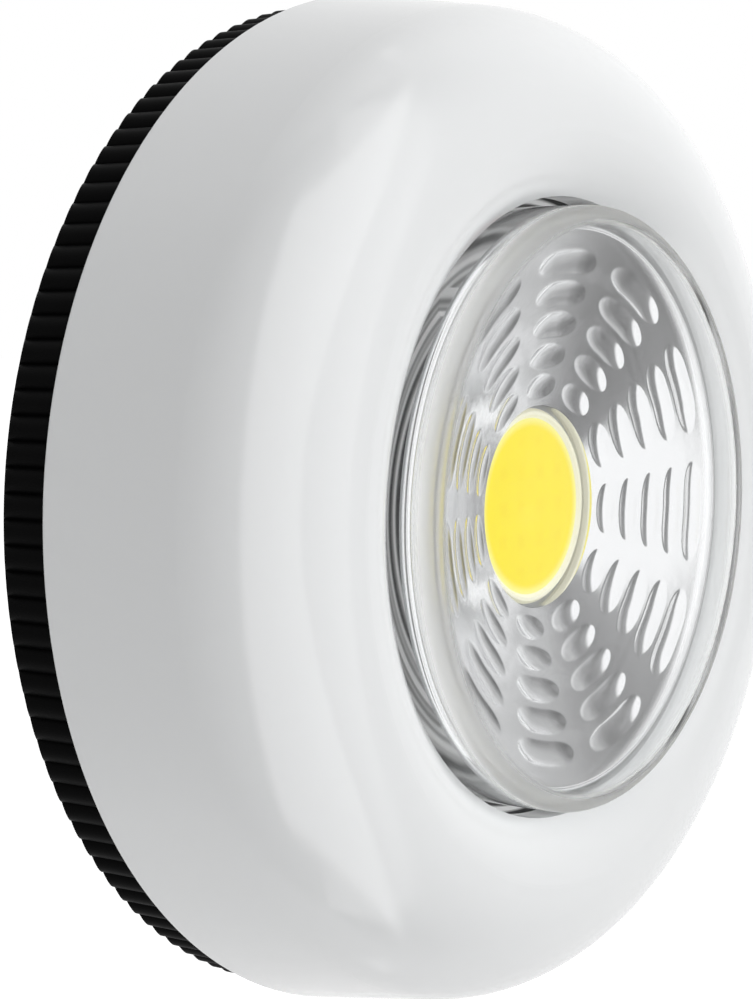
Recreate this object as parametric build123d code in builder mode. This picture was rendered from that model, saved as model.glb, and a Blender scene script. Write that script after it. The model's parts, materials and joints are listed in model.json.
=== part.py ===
from build123d import *
import math
import os

# Stick-on push light: a round white housing on a ribbed black base that is stuck to a wall.
# The light's axis runs along -Y. The wall is the plane y = 0, and a depth is a distance from
# the wall towards the front. +Z is up, +X is to the right of someone facing the light.
# Sizes are in millimetres, angles in degrees.

# Battery cells, size AAA, three side by side
cell_diameter = 10.5
cell_length = 44.5
cell_nub_diameter = 3.8
cell_nub_height = 0.8
cell_edge_round = 0.4
cell_spacing = 0.2

# Battery contacts
contact_sheet = 0.4
contact_dimple_height = 0.3
contact_dimple_radius = 1.6
contact_dimple_taper = 30.0
contact_half_width = 3.3
contact_end_margin = 1.3
contact_tail_width = 1.8
contact_tail_reach = 1.4
contact_spring_length = 2.8
contact_spring_wire = 0.5
contact_spring_wide_radius = 3.1
contact_spring_narrow_radius = 1.8
contact_spring_turns = 2.5

# Battery tray, a plate with an open box behind it
tray_wall = 1.0
tray_plate = 0.7
tray_side_gap = 0.1
tray_corner_round = 3.0
tray_edge_gap = 0.4
tray_crest_rise = 0.45
tray_crest_gap = 0.35
tray_floor_gap = 0.4
tray_slot_gap = 0.2
cradle_rib = 1.0
cradle_rib_length = 22.0
cradle_rib_height = 2.7

# Stuck base with its foam pad
pad_diameter = 50.0
pad_thickness = 1.0
pad_recess = 0.5
pad_recess_gap = 0.3
base_floor = 1.1
base_rim_depth = 4.0
base_edge_chamfer = 0.6
base_rim_setback = 0.55
rib_count = 136
rib_depth = 0.4
cell_floor_gap = 0.1

# Bayonet between base and housing
collar_gap = 0.86
collar_wall = 1.4
lug_reach = 1.0
lug_gap = 0.3
lug_thickness = 1.3
lug_angle = 18.0
lug_first_angle = 90.0
bayonet_count = 3
bayonet_twist = 22.0
bayonet_play_angle = 0.6
ledge_lift = 0.65
ledge_thickness = 1.1
ledge_gap = 0.3
ledge_root_share = 0.33
ledge_slot_angle = 21.0
stop_rib_angle = 3.0
face_gap = 0.15

# Housing
housing_wall = 1.7
side_draft_angle = 8.3
shoulder_round = 8.5
shoulder_share = 0.99
lip_width = 4.2
lip_drop = 1.9
opening_collar_wall = 1.8
opening_collar_depth = 2.25
rear_edge_round = 0.3
boss_radius = 2.4
boss_pilot_radius = 0.85
boss_pilot_depth = 3.4
boss_gap = 1.15
boss_count = 4
boss_first_angle = 45.0

# Push lens
lens_lead_gap = 0.8
lens_gap = 0.63
lens_wall = 0.97
lens_plate = 1.0
lens_edge_round = 0.4
lens_inner_round = 0.3
lens_proud = 3.2
lens_flange_width = 1.83
lens_flange_thickness = 1.0

# Reflector
reflector_sheet = 0.8
reflector_gap = 0.15
reflector_front_gap = 1.48
reflector_rim_width = 0.45
throat_radius = 6.86
throat_wall = 1.0
throat_depth = 1.05
web_sector_count = 11
web_row_count = 5
web_turn_angle = -4.5
web_dimple_angle = 23.5
web_first_radius = 8.2
web_row_spacing = 2.08
web_dimple_half_width = 0.84
web_dimple_depth = 0.15
web_cut_height = 0.1

# Light source, one chip-on-board lamp
board_radius = 12.0
board_thickness = 0.8
board_gap = 0.2
board_key_radius = 1.2
phosphor_radius = 6.0
phosphor_thickness = 0.3
phosphor_crown = 0.1
dam_width = 0.65
dam_height = 0.5
dam_slope_share = 0.33

# Carrier behind the lens
carrier_plate = 1.0
carrier_ledge = 0.4
carrier_window_radius = 9.5
carrier_edge = 0.7
carrier_post_radius = 1.1
carrier_post_circle_radius = 15.4
carrier_post_count = 3
carrier_pin_radius = 1.0
carrier_pin_length = 3.0
hook_count = 3
hook_angle = 16.0
hook_wall = 1.0
hook_nose_reach = 0.7
hook_nose_thickness = 0.5
hook_gap = 0.08
hook_first_angle = 60.0

# Travel of the lens, with what it needs behind it
push_travel = 1.3
travel_margin = 0.2
stop_gap = 0.1

# Return springs in their wells
return_spring_wire = 0.35
return_spring_radius = 1.6
return_spring_turns = 6
well_wall = 0.8
well_side_gap = 0.35
well_stand_off = 0.4
well_floor = 0.6
well_depth = 5.65
well_offset_x = 8.2

# Push switch on its small board
switch_side = 7.0
switch_height = 5.6
switch_neck_side = 4.6
switch_neck_height = 0.7
switch_slot_gap = 0.3
switch_plate_gap = 0.3
switch_offset_x = -1.5
switch_stand_off = 0.95
plunger_side = 3.0
plunger_gap = 0.1
plunger_reach = 3.8
plunger_foot_gap = 0.3
switch_board_thickness = 1.0
switch_board_half_width = 5.0
switch_board_front_margin = 0.7
switch_board_tail = 3.8
switch_pin_side = 0.5
switch_pin_reach = 0.8
switch_pin_spread_x = 2.5
switch_pin_spacing = 2.2
switch_pin_hole_gap = 0.2
board_post_radius = 1.6
board_post_inset = 1.8
board_post_offset_x = 0.8
resistor_radius = 0.8
resistor_length = 3.2
resistor_lead_radius = 0.25
resistor_lead_run = 1.0
resistor_lead_bend = 0.5
resistor_offset_x = 3.4
resistor_lift = 1.0
resistor_floor_gap = 0.3

# Screws
tray_screw_head_radius = 1.9
tray_screw_head_height = 1.2
tray_screw_shank_radius = 0.8
tray_screw_length = 3.6
tray_screw_hole_radius = 1.1
board_screw_head_radius = 1.4
board_screw_head_height = 0.9
board_screw_shank_radius = 0.55
board_screw_length = 3.6
board_screw_pilot_radius = 0.6
board_screw_hole_radius = 0.8
screw_slot_width = 0.4
screw_slot_depth = 0.5

# Leads
lead_radius = 0.5
lead_wall_gap = 0.35
lead_switch_gap = 0.7
lead_hole_gap = 0.4
lead_bend_radius = 1.5
lead_sweep_radius = 3.0
lead_lift = 0.05
lead_start_inset = 1.3
red_lead_x = 2.0
black_lead_x = 3.6
lead_plane_gap = 1.15
lead_end_drop = 0.9
red_turn_share = 0.344
battery_turn_share = 0.487

# One overrun serves all through cuts
overrun = 1.0

# Depths, from the wall to the front
base_back = pad_thickness - pad_recess
base_front = base_back + base_rim_depth
base_inside = pad_thickness + base_floor
cell_depth = base_inside + cell_floor_gap + cell_diameter / 2
tray_back = base_inside + tray_floor_gap
switch_stack = resistor_radius + resistor_lift + switch_board_thickness + switch_height + switch_plate_gap
tray_plate_back = max(
    cell_depth + cell_diameter / 2 - tray_crest_rise, base_inside + resistor_floor_gap + switch_stack
)
tray_front = tray_plate_back + tray_plate
carrier_back = tray_front + push_travel + travel_margin
carrier_front = carrier_back + carrier_plate
board_back = carrier_back + carrier_ledge
board_front = board_back + board_thickness
flange_front = carrier_front + lens_flange_thickness
hook_front = flange_front + hook_gap + hook_nose_thickness
opening_collar_back = hook_front + stop_gap
opening_edge = opening_collar_back + opening_collar_depth
crown = opening_edge + lip_drop
crown_inside = crown - housing_wall
lens_front = opening_edge + lens_proud
lens_plate_back = lens_front - lens_plate
reflector_rim = lens_plate_back - reflector_front_gap
throat_front = board_front + throat_depth
housing_back = base_front + face_gap
housing_depth = crown - housing_back
ledge_back = housing_back + ledge_lift
ledge_front = ledge_back + ledge_thickness
lug_back = ledge_front + face_gap
lug_front = lug_back + lug_thickness
well_back = tray_front - well_depth
lead_tray_depth = lug_front + lead_plane_gap + lead_radius

# Battery box and the round parts that wrap it
cell_pitch = cell_diameter + cell_spacing
box_half_width = cell_pitch + cell_diameter / 2 + tray_side_gap
box_half_length = (cell_length + contact_dimple_height + contact_spring_length) / 2 + contact_sheet
box_outer_half_width = box_half_width + tray_wall
box_outer_half_length = box_half_length + tray_wall
box_reach = tray_corner_round + math.hypot(
    box_outer_half_width - tray_corner_round, box_outer_half_length - tray_corner_round
)
switch_z = -(box_outer_half_width + switch_stand_off + switch_side / 2)
switch_board_top_z = switch_z + switch_side / 2 + switch_board_front_margin
switch_board_end_z = switch_z - switch_side / 2 - switch_board_tail
board_reach = math.hypot(switch_board_half_width, switch_board_end_z)
collar_inner = max(box_reach, board_reach) + collar_gap
collar_outer = collar_inner + collar_wall
lug_outer = collar_outer + lug_reach
side_lean = math.tan(math.radians(side_draft_angle))
wall_across = housing_wall / math.cos(math.radians(side_draft_angle))
skirt_inner = lug_outer + lug_gap + side_lean * (lug_front - housing_back)
housing_radius = skirt_inner + wall_across
rib_crest_radius = housing_radius - base_rim_setback

# Windows in the tray plate, into which the cells' crests rise
crest_chord = math.sqrt((cell_diameter / 2) ** 2 - (cell_diameter / 2 - tray_crest_rise) ** 2)
crest_window_width = 2 * (crest_chord + tray_crest_gap)
crest_window_length = 2 * (box_half_length - contact_sheet)

# Leads just outside the battery box, then the lens round them, carrier and wells
lead_z = box_outer_half_width + lead_wall_gap + lead_radius
lens_inner = lead_z + lead_radius + lens_lead_gap
lens_radius = lens_inner + lens_wall
flange_radius = lens_radius + lens_flange_width
opening_radius = lens_radius + lens_gap
opening_collar_outer = opening_radius + opening_collar_wall
crown_radius = opening_radius + lip_width
reflector_radius = lens_inner - reflector_gap
spring_outer_radius = return_spring_radius + return_spring_wire / 2
well_radius = spring_outer_radius + well_side_gap
well_outer_radius = well_radius + well_wall
well_z = box_outer_half_width + well_stand_off + well_outer_radius
well_points = [(x * well_offset_x, z * well_z) for x in (-1, 1) for z in (-1, 1)]
spring_reach = math.hypot(well_offset_x, well_z) + spring_outer_radius
hook_inner = flange_radius + hook_gap
carrier_radius = max(spring_reach, hook_inner + hook_wall) + carrier_edge
boss_circle_radius = carrier_radius + boss_radius + boss_gap

# Side wall: the shoulder is as round as the crown leaves room for
shoulder_half_turn = math.tan(math.radians((90 - side_draft_angle) / 2))
corner_radius = housing_radius - side_lean * housing_depth
shoulder_radius = min(shoulder_round, shoulder_share * (corner_radius - crown_radius) / shoulder_half_turn)
inner_corner_radius = skirt_inner - side_lean * (crown_inside - housing_back)
inner_shoulder_radius = shoulder_radius - housing_wall

# Tray plate, just inside the side wall at its depth
tray_radius = skirt_inner - side_lean * (tray_front - housing_back) - tray_edge_gap

# Switch, under the lower edge of the carrier
switch_back = tray_plate_back - switch_plate_gap - switch_height
switch_front = switch_back + switch_height
switch_board_back = switch_back - switch_board_thickness
plunger_back = switch_front - plunger_reach
board_post_z = switch_board_end_z + board_post_inset

# Leads leave the lamp board through the carrier
lead_top_depth = board_front + lead_radius + lead_lift
lead_start_z = math.sqrt(board_radius**2 - black_lead_x**2) - lead_start_inset
tail_end_x = box_outer_half_length + contact_tail_reach
lead_clear_radius = collar_outer - 2 * lead_radius

side_plane = Plane(origin=(0, 0, 0), x_dir=(1, 0, 0), z_dir=(0, 0, -1))


def at_depth(depth):
    """The plane parallel to the wall at this depth, facing the front."""
    return Plane.XZ.offset(depth)


def place(x, z, depth):
    """A point right of, above and in front of the origin on the wall."""
    return Vector(x, -depth, z)


def ring_sector(inner_radius, outer_radius, middle_angle, width_angle):
    """A piece of a flat ring, added to the open sketch."""
    start_angle = middle_angle - width_angle / 2
    with BuildLine() as outline:
        outer = CenterArc((0, 0), outer_radius, start_angle, width_angle)
        inner = CenterArc((0, 0), inner_radius, start_angle, width_angle)
        Line(outer @ 0, inner @ 0)
        Line(outer @ 1, inner @ 1)
    make_face(outline.edges())


def closed_outline(*points):
    """A face with straight sides, added to the open sketch."""
    with BuildLine() as outline:
        Polyline(*points, close=True)
    make_face(outline.edges())


def ribbed_outline(valley_radius, crest_radius, count):
    """A face whose edge is a ring of round ribs, added to the open sketch."""
    turn = 2 * math.pi / count
    with BuildLine() as outline:
        for index in range(count):
            ends = [(index - 0.5) * turn, (index + 0.5) * turn]
            valleys = [(valley_radius * math.cos(angle), valley_radius * math.sin(angle)) for angle in ends]
            crest = (crest_radius * math.cos(index * turn), crest_radius * math.sin(index * turn))
            ThreePointArc(valleys[0], crest, valleys[1])
    make_face(outline.edges())


def least_gap(points, wire, per_turn=24):
    """The least clear distance of a coil to itself, on points along its middle line."""
    gaps = []
    for index, point in enumerate(points):
        for other in points[index + per_turn // 2:]:
            gaps.append((other - point).length)
    return min(gaps) - wire


def coil_points(bottom_radius, top_radius, turns, height, per_turn=24):
    """Points along the middle line of a coil that stands at the origin."""
    steps = int(turns * per_turn)
    points = []
    for step in range(steps + 1):
        share = step / steps
        turn = 2 * math.pi * turns * share
        radius = bottom_radius + (top_radius - bottom_radius) * share
        points.append(Vector(radius * math.cos(turn), radius * math.sin(turn), height * share))
    return points


os.makedirs("parts", exist_ok=True)

# Foam pad that sticks the base to the wall
with BuildPart() as adhesive_pad:
    with BuildSketch(at_depth(0)):
        Circle(pad_diameter / 2)
    extrude(amount=pad_thickness)
adhesive_pad.part.label = "adhesive_pad"
export_step(adhesive_pad.part, "parts/adhesive_pad.step")

# Base cover: ribbed rim, floor, and the collar whose lugs lock into the housing
lug_angles = [lug_first_angle + index * 360 / bayonet_count for index in range(bayonet_count)]
with BuildPart() as base_cover:
    with BuildSketch(at_depth(base_back)):
        ribbed_outline(rib_crest_radius - rib_depth, rib_crest_radius, rib_count)
    extrude(amount=base_rim_depth)
    with BuildSketch(side_plane):
        closed_outline(
            (rib_crest_radius - base_edge_chamfer, base_back),
            (rib_crest_radius + overrun, base_back),
            (rib_crest_radius + overrun, base_back + base_edge_chamfer + overrun),
        )
    revolve(axis=Axis.Y, mode=Mode.SUBTRACT)
    with BuildSketch(at_depth(base_front)):
        Circle(collar_outer)
    extrude(amount=lug_front - base_front)
    with BuildSketch(at_depth(lug_back)):
        for angle in lug_angles:
            ring_sector(collar_outer - collar_wall / 2, lug_outer, angle, lug_angle)
    extrude(amount=lug_thickness)
    with BuildSketch(at_depth(base_inside)):
        Circle(collar_inner)
    extrude(amount=lug_front - base_inside + overrun, mode=Mode.SUBTRACT)
    with BuildSketch(at_depth(base_back)):
        Circle(pad_diameter / 2 + pad_recess_gap)
    extrude(amount=pad_recess, mode=Mode.SUBTRACT)
base_cover.part.label = "base_cover"
export_step(base_cover.part, "parts/base_cover.step")

# Space inside the housing: what the bosses, ledges and stops leave free of the hollow
slot_angles = [angle - bayonet_twist for angle in lug_angles]
ledge_outer = skirt_inner + ledge_root_share * housing_wall
with BuildPart() as housing_space:
    with BuildSketch(side_plane):
        closed_outline(
            (0, housing_back),
            (skirt_inner, housing_back),
            (inner_corner_radius, crown_inside),
            (opening_collar_outer, crown_inside),
            (opening_collar_outer, opening_collar_back),
            (opening_radius, opening_collar_back),
            (opening_radius, crown + overrun),
            (0, crown + overrun),
        )
        inner_corner = vertices().sort_by_distance((inner_corner_radius, crown_inside, 0))[0]
        fillet(inner_corner, inner_shoulder_radius)
    revolve(axis=Axis.Y)
    with BuildSketch(at_depth(tray_front)):
        with PolarLocations(boss_circle_radius, boss_count, start_angle=boss_first_angle):
            Circle(boss_radius)
    extrude(amount=crown - tray_front, mode=Mode.SUBTRACT)
    with BuildSketch(at_depth(ledge_back)):
        for angle in slot_angles:
            ledge_angle = 360 / bayonet_count - ledge_slot_angle
            ring_sector(collar_outer + ledge_gap, ledge_outer, angle + 180 / bayonet_count, ledge_angle)
    extrude(amount=ledge_thickness, mode=Mode.SUBTRACT)
    with BuildSketch(at_depth(ledge_front)):
        for angle in lug_angles:
            locked_stop = angle + lug_angle / 2 + bayonet_play_angle + stop_rib_angle / 2
            open_stop = angle - lug_angle / 2 - bayonet_play_angle - stop_rib_angle / 2 - bayonet_twist
            ring_sector(collar_outer + ledge_gap, ledge_outer, locked_stop, stop_rib_angle)
            ring_sector(collar_outer + ledge_gap, ledge_outer, open_stop, stop_rib_angle)
    extrude(amount=lug_thickness, mode=Mode.SUBTRACT)

# Housing shell: drafted side, round shoulder and a lip that dips to the lens opening
with BuildPart() as housing_shell:
    with BuildSketch(side_plane):
        with BuildLine():
            Line((0, housing_back), (housing_radius, housing_back))
            Line((housing_radius, housing_back), (corner_radius, crown))
            Line((corner_radius, crown), (crown_radius, crown))
            TangentArc((crown_radius, crown), (opening_radius, opening_edge), tangent=(-1, 0))
            Line((opening_radius, opening_edge), (0, opening_edge))
            Line((0, opening_edge), (0, housing_back))
        make_face()
        outer_corner = vertices().sort_by_distance((corner_radius, crown, 0))[0]
        fillet(outer_corner, shoulder_radius)
        rear_corner = vertices().sort_by_distance((housing_radius, housing_back, 0))[0]
        fillet(rear_corner, rear_edge_round)
    revolve(axis=Axis.Y)
    add(housing_space.part, mode=Mode.SUBTRACT)
    with BuildSketch(at_depth(tray_front)):
        with PolarLocations(boss_circle_radius, boss_count, start_angle=boss_first_angle):
            Circle(boss_pilot_radius)
    extrude(amount=boss_pilot_depth, mode=Mode.SUBTRACT)
housing_shell.part.label = "housing_shell"
export_step(housing_shell.part, "parts/housing_shell.step")

# Battery tray: plate, open box for three cells, spring wells and the post for the switch board
box_tail_z = cell_pitch
with BuildPart() as battery_tray:
    with BuildSketch(at_depth(tray_plate_back)):
        Circle(tray_radius)
    extrude(amount=tray_plate)
    with BuildSketch(at_depth(tray_back)):
        RectangleRounded(2 * box_outer_half_length, 2 * box_outer_half_width, tray_corner_round)
        RectangleRounded(
            2 * box_half_length, 2 * box_half_width, tray_corner_round - tray_wall, mode=Mode.SUBTRACT
        )
    extrude(amount=tray_plate_back - tray_back)
    with BuildSketch(at_depth(tray_plate_back - cradle_rib_height)):
        with Locations((0, cell_pitch / 2), (0, -cell_pitch / 2)):
            Rectangle(cradle_rib_length, cradle_rib)
    extrude(amount=cradle_rib_height)
    with BuildSketch(at_depth(well_back)):
        with Locations(*well_points):
            Circle(well_outer_radius)
    extrude(amount=well_depth)
    with BuildSketch(at_depth(well_back + well_floor)):
        with Locations(*well_points):
            Circle(well_radius)
    extrude(amount=well_depth, mode=Mode.SUBTRACT)
    with BuildSketch(at_depth(switch_back)):
        with Locations((board_post_offset_x, board_post_z)):
            Circle(board_post_radius)
    extrude(amount=tray_plate_back - switch_back)
    with BuildSketch(at_depth(switch_back)):
        with Locations((board_post_offset_x, board_post_z)):
            Circle(board_screw_pilot_radius)
    extrude(amount=board_screw_length, mode=Mode.SUBTRACT)
    with BuildSketch(at_depth(tray_plate_back)):
        with PolarLocations(boss_circle_radius, boss_count, start_angle=boss_first_angle):
            Circle(tray_screw_hole_radius)
        with Locations((switch_offset_x, switch_z)):
            Rectangle(switch_neck_side + 2 * switch_slot_gap, switch_neck_side + 2 * switch_slot_gap)
        with Locations((red_lead_x, lead_z), (black_lead_x, -lead_z)):
            Circle(lead_radius + lead_hole_gap)
        with Locations((0, cell_pitch), (0, 0), (0, -cell_pitch)):
            Rectangle(crest_window_length, crest_window_width)
    extrude(amount=tray_plate, mode=Mode.SUBTRACT)
    with BuildSketch(at_depth(tray_back)):
        with Locations((box_half_length + tray_wall / 2, box_tail_z)):
            Rectangle(tray_wall + 2 * tray_slot_gap, contact_tail_width + 2 * tray_slot_gap)
        with Locations((-box_half_length - tray_wall / 2, -box_tail_z)):
            Rectangle(tray_wall + 2 * tray_slot_gap, contact_tail_width + 2 * tray_slot_gap)
    extrude(amount=lead_tray_depth + contact_sheet / 2 + tray_slot_gap - tray_back, mode=Mode.SUBTRACT)
battery_tray.part.label = "battery_tray"
export_step(battery_tray.part, "parts/battery_tray.step")


def battery_cell(z, positive_side):
    """A cell along X at height z, with its nub on the positive side (+1 right, -1 left)."""
    tip = positive_side * (box_half_length - contact_sheet - contact_dimple_height)
    shoulder = tip - positive_side * cell_nub_height
    foot = tip - positive_side * cell_length
    top = z + cell_diameter / 2
    with BuildPart() as cell:
        with BuildSketch(at_depth(cell_depth)):
            closed_outline(
                (foot, z),
                (foot, top - cell_edge_round),
                (foot + positive_side * cell_edge_round, top),
                (shoulder - positive_side * cell_edge_round, top),
                (shoulder, top - cell_edge_round),
                (shoulder, z + cell_nub_diameter / 2),
                (tip, z + cell_nub_diameter / 2),
                (tip, z),
            )
        revolve(axis=Axis(place(0, z, cell_depth), (1, 0, 0)))
    return cell


battery_top = battery_cell(cell_pitch, 1)
battery_top.part.label = "battery_top"
export_step(battery_top.part, "parts/battery_top.step")

battery_middle = battery_cell(0, -1)
battery_middle.part.label = "battery_middle"
export_step(battery_middle.part, "parts/battery_middle.step")

battery_bottom = battery_cell(-cell_pitch, 1)
battery_bottom.part.label = "battery_bottom"
export_step(battery_bottom.part, "parts/battery_bottom.step")


def contact_plate(side, low_z, high_z, dimple_z=None, tail_z=None):
    """A sheet against the box's end wall, with a dimple for a nub and a tail for a lead."""
    plate_plane = Plane.YZ.offset(side * box_half_length)
    middle = (-cell_depth, (low_z + high_z) / 2)
    with BuildPart() as plate:
        with BuildSketch(plate_plane):
            with Locations(middle):
                Rectangle(cell_diameter - 2 * contact_end_margin, high_z - low_z)
        extrude(amount=-side * contact_sheet)
        if dimple_z is not None:
            with BuildSketch(Plane.YZ.offset(side * (box_half_length - contact_sheet))):
                with Locations((-cell_depth, dimple_z)):
                    Circle(contact_dimple_radius)
            extrude(amount=-side * contact_dimple_height, taper=contact_dimple_taper)
        if tail_z is not None:
            with BuildSketch(plate_plane):
                with Locations((-lead_tray_depth, tail_z)):
                    Rectangle(contact_sheet, contact_tail_width)
            extrude(amount=side * (tray_wall + contact_tail_reach))
    return plate


positive_plate = contact_plate(
    1, cell_pitch - contact_half_width, cell_pitch + contact_half_width, cell_pitch, cell_pitch
)
positive_plate.part.label = "positive_plate"
export_step(positive_plate.part, "parts/positive_plate.step")

negative_plate = contact_plate(
    -1, -cell_pitch - contact_half_width, -cell_pitch + contact_half_width, None, -cell_pitch
)
negative_plate.part.label = "negative_plate"
export_step(negative_plate.part, "parts/negative_plate.step")

# Link plates: each joins the foot of one cell to the nub of the next
left_link = contact_plate(-1, -contact_half_width, cell_pitch + contact_half_width, 0)
right_link = contact_plate(1, -cell_pitch - contact_half_width, contact_half_width, -cell_pitch)
with BuildPart() as link_plates:
    add(left_link.part)
    add(right_link.part)
link_plates.part.label = "link_plates"
export_step(link_plates.part, "parts/link_plates.step")


def coil(foot, direction, bottom_radius, top_radius, turns, height, wire):
    """A wire coil that stands on a point and rises along a direction, as one solid."""
    lean = math.degrees(math.atan2(top_radius - bottom_radius, height))
    with BuildPart() as spring:
        with BuildLine() as middle_line:
            Helix(
                pitch=height / turns,
                height=height,
                radius=bottom_radius,
                center=foot,
                direction=direction,
                cone_angle=lean,
            )
        path = middle_line.wires()[0]
        with BuildSketch(Plane(origin=path @ 0, z_dir=path % 0)):
            Circle(wire / 2)
        sweep(path=path, is_frenet=True)
    return spring


# Contact springs: a conical coil behind the foot of each cell
contact_coil_height = contact_spring_length - contact_spring_wire
contact_coil_x = box_half_length - contact_sheet - contact_spring_wire / 2
contact_places = [(-1, cell_pitch), (1, 0), (-1, -cell_pitch)]
contact_coils = [
    coil(
        place(side * contact_coil_x, z, cell_depth),
        (-side, 0, 0),
        contact_spring_wide_radius,
        contact_spring_narrow_radius,
        contact_spring_turns,
        contact_coil_height,
        contact_spring_wire,
    )
    for side, z in contact_places
]
with BuildPart() as contact_springs:
    add([spring.part for spring in contact_coils])
contact_springs.part.label = "contact_springs"
export_step(contact_springs.part, "parts/contact_springs.step")
contact_coil_points = coil_points(
    contact_spring_wide_radius, contact_spring_narrow_radius, contact_spring_turns, contact_coil_height
)
print("contact spring least gap", round(least_gap(contact_coil_points, contact_spring_wire), 2))

# Return springs: four coils in the tray's wells that push the carrier to the front
return_coil_foot = well_back + well_floor + return_spring_wire / 2
return_coil_height = carrier_back - return_spring_wire / 2 - return_coil_foot
return_coils = [
    coil(
        place(x, z, return_coil_foot),
        (0, -1, 0),
        return_spring_radius,
        return_spring_radius,
        return_spring_turns,
        return_coil_height,
        return_spring_wire,
    )
    for x, z in well_points
]
with BuildPart() as return_springs:
    add([spring.part for spring in return_coils])
return_springs.part.label = "return_springs"
export_step(return_springs.part, "parts/return_springs.step")
return_coil_points = coil_points(
    return_spring_radius, return_spring_radius, return_spring_turns, return_coil_height
)
print("return spring least gap", round(least_gap(return_coil_points, return_spring_wire), 2))

# Push lens: a clear cup with a rounded front edge and a flange at its mouth
with BuildPart() as push_lens:
    with BuildSketch(side_plane):
        closed_outline(
            (0, lens_front),
            (lens_radius, lens_front),
            (lens_radius, flange_front),
            (flange_radius, flange_front),
            (flange_radius, carrier_front),
            (lens_inner, carrier_front),
            (lens_inner, lens_plate_back),
            (0, lens_plate_back),
        )
        front_edge = vertices().sort_by_distance((lens_radius, lens_front, 0))[0]
        fillet(front_edge, lens_edge_round)
        inner_edge = vertices().sort_by_distance((lens_inner, lens_plate_back, 0))[0]
        fillet(inner_edge, lens_inner_round)
    revolve(axis=Axis.Y)
push_lens.part.label = "push_lens"
export_step(push_lens.part, "parts/push_lens.step")

# Reflector bowl, a cone between the throat and the rim
rim_inner_radius = reflector_radius - reflector_rim_width
cone_angle = math.atan2(reflector_rim - throat_front, rim_inner_radius - throat_radius)
cone_slope = math.tan(cone_angle)
sheet_depth = reflector_sheet / math.cos(cone_angle)
throat_outer = throat_radius + throat_wall


def cone_depth(radius):
    """Depth of the reflector's shining side at this radius."""
    return throat_front + (radius - throat_radius) * cone_slope


def web_cutter(row):
    """What one shallow dimple of the web takes off the cone, centred on +X."""
    radius = web_first_radius + row * web_row_spacing
    along = Vector(math.cos(cone_angle), math.sin(cone_angle))
    outward = Vector(-math.sin(cone_angle), math.cos(cone_angle))
    middle = Vector(radius, cone_depth(radius))
    inner_edge = middle - along * web_dimple_half_width
    outer_edge = middle + along * web_dimple_half_width
    raised = outward * web_cut_height
    with BuildPart() as cutter:
        with BuildSketch(side_plane):
            with BuildLine():
                ThreePointArc(inner_edge, middle - outward * web_dimple_depth, outer_edge)
                Polyline(outer_edge, outer_edge + raised, inner_edge + raised, inner_edge)
            make_face()
        revolve(axis=Axis.Y, revolution_arc=web_dimple_angle)
    return cutter.part.rotate(Axis.Y, -web_dimple_angle / 2)


web_cutters = [web_cutter(row) for row in range(web_row_count)]
web_cuts = [
    cutter.rotate(Axis.Y, -(web_turn_angle + sector * 360 / web_sector_count))
    for cutter in web_cutters
    for sector in range(web_sector_count)
]
with BuildPart() as reflector:
    with BuildSketch(side_plane):
        closed_outline(
            (throat_radius, board_front),
            (throat_radius, throat_front),
            (rim_inner_radius, reflector_rim),
            (reflector_radius, reflector_rim),
            (reflector_radius, reflector_rim - reflector_sheet),
            (rim_inner_radius, reflector_rim - sheet_depth),
            (throat_outer, cone_depth(throat_outer) - sheet_depth),
            (throat_outer, board_front),
        )
    revolve(axis=Axis.Y)
    add(web_cuts, mode=Mode.SUBTRACT)
reflector.part.label = "reflector"
export_step(reflector.part, "parts/reflector.step")

# Lamp board with two keys that stop it turning in the carrier
key_points = [(board_radius, 0), (-board_radius, 0)]
with BuildPart() as cob_board:
    with BuildSketch(at_depth(board_back)):
        Circle(board_radius)
        with Locations(*key_points):
            Circle(board_key_radius, mode=Mode.SUBTRACT)
    extrude(amount=board_thickness)
cob_board.part.label = "cob_board"
export_step(cob_board.part, "parts/cob_board.step")

# White dam round the phosphor
dam_outer = phosphor_radius + dam_width
with BuildPart() as cob_dam:
    with BuildSketch(side_plane):
        closed_outline(
            (phosphor_radius, board_front),
            (phosphor_radius, board_front + phosphor_thickness),
            (phosphor_radius + dam_slope_share * dam_width, board_front + dam_height),
            (dam_outer - dam_slope_share * dam_width, board_front + dam_height),
            (dam_outer, board_front + dam_height / 2),
            (dam_outer, board_front),
        )
    revolve(axis=Axis.Y)
cob_dam.part.label = "cob_dam"
export_step(cob_dam.part, "parts/cob_dam.step")

# Phosphor: a shallow dome of yellow gel inside the dam
with BuildPart() as cob_phosphor:
    with BuildSketch(side_plane):
        with BuildLine():
            Polyline(
                (0, board_front + phosphor_thickness + phosphor_crown),
                (0, board_front),
                (phosphor_radius, board_front),
                (phosphor_radius, board_front + phosphor_thickness),
            )
            TangentArc(
                (0, board_front + phosphor_thickness + phosphor_crown),
                (phosphor_radius, board_front + phosphor_thickness),
                tangent=(1, 0),
            )
        make_face()
    revolve(axis=Axis.Y)
cob_phosphor.part.label = "cob_phosphor"
export_step(cob_phosphor.part, "parts/cob_phosphor.step")

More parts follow.
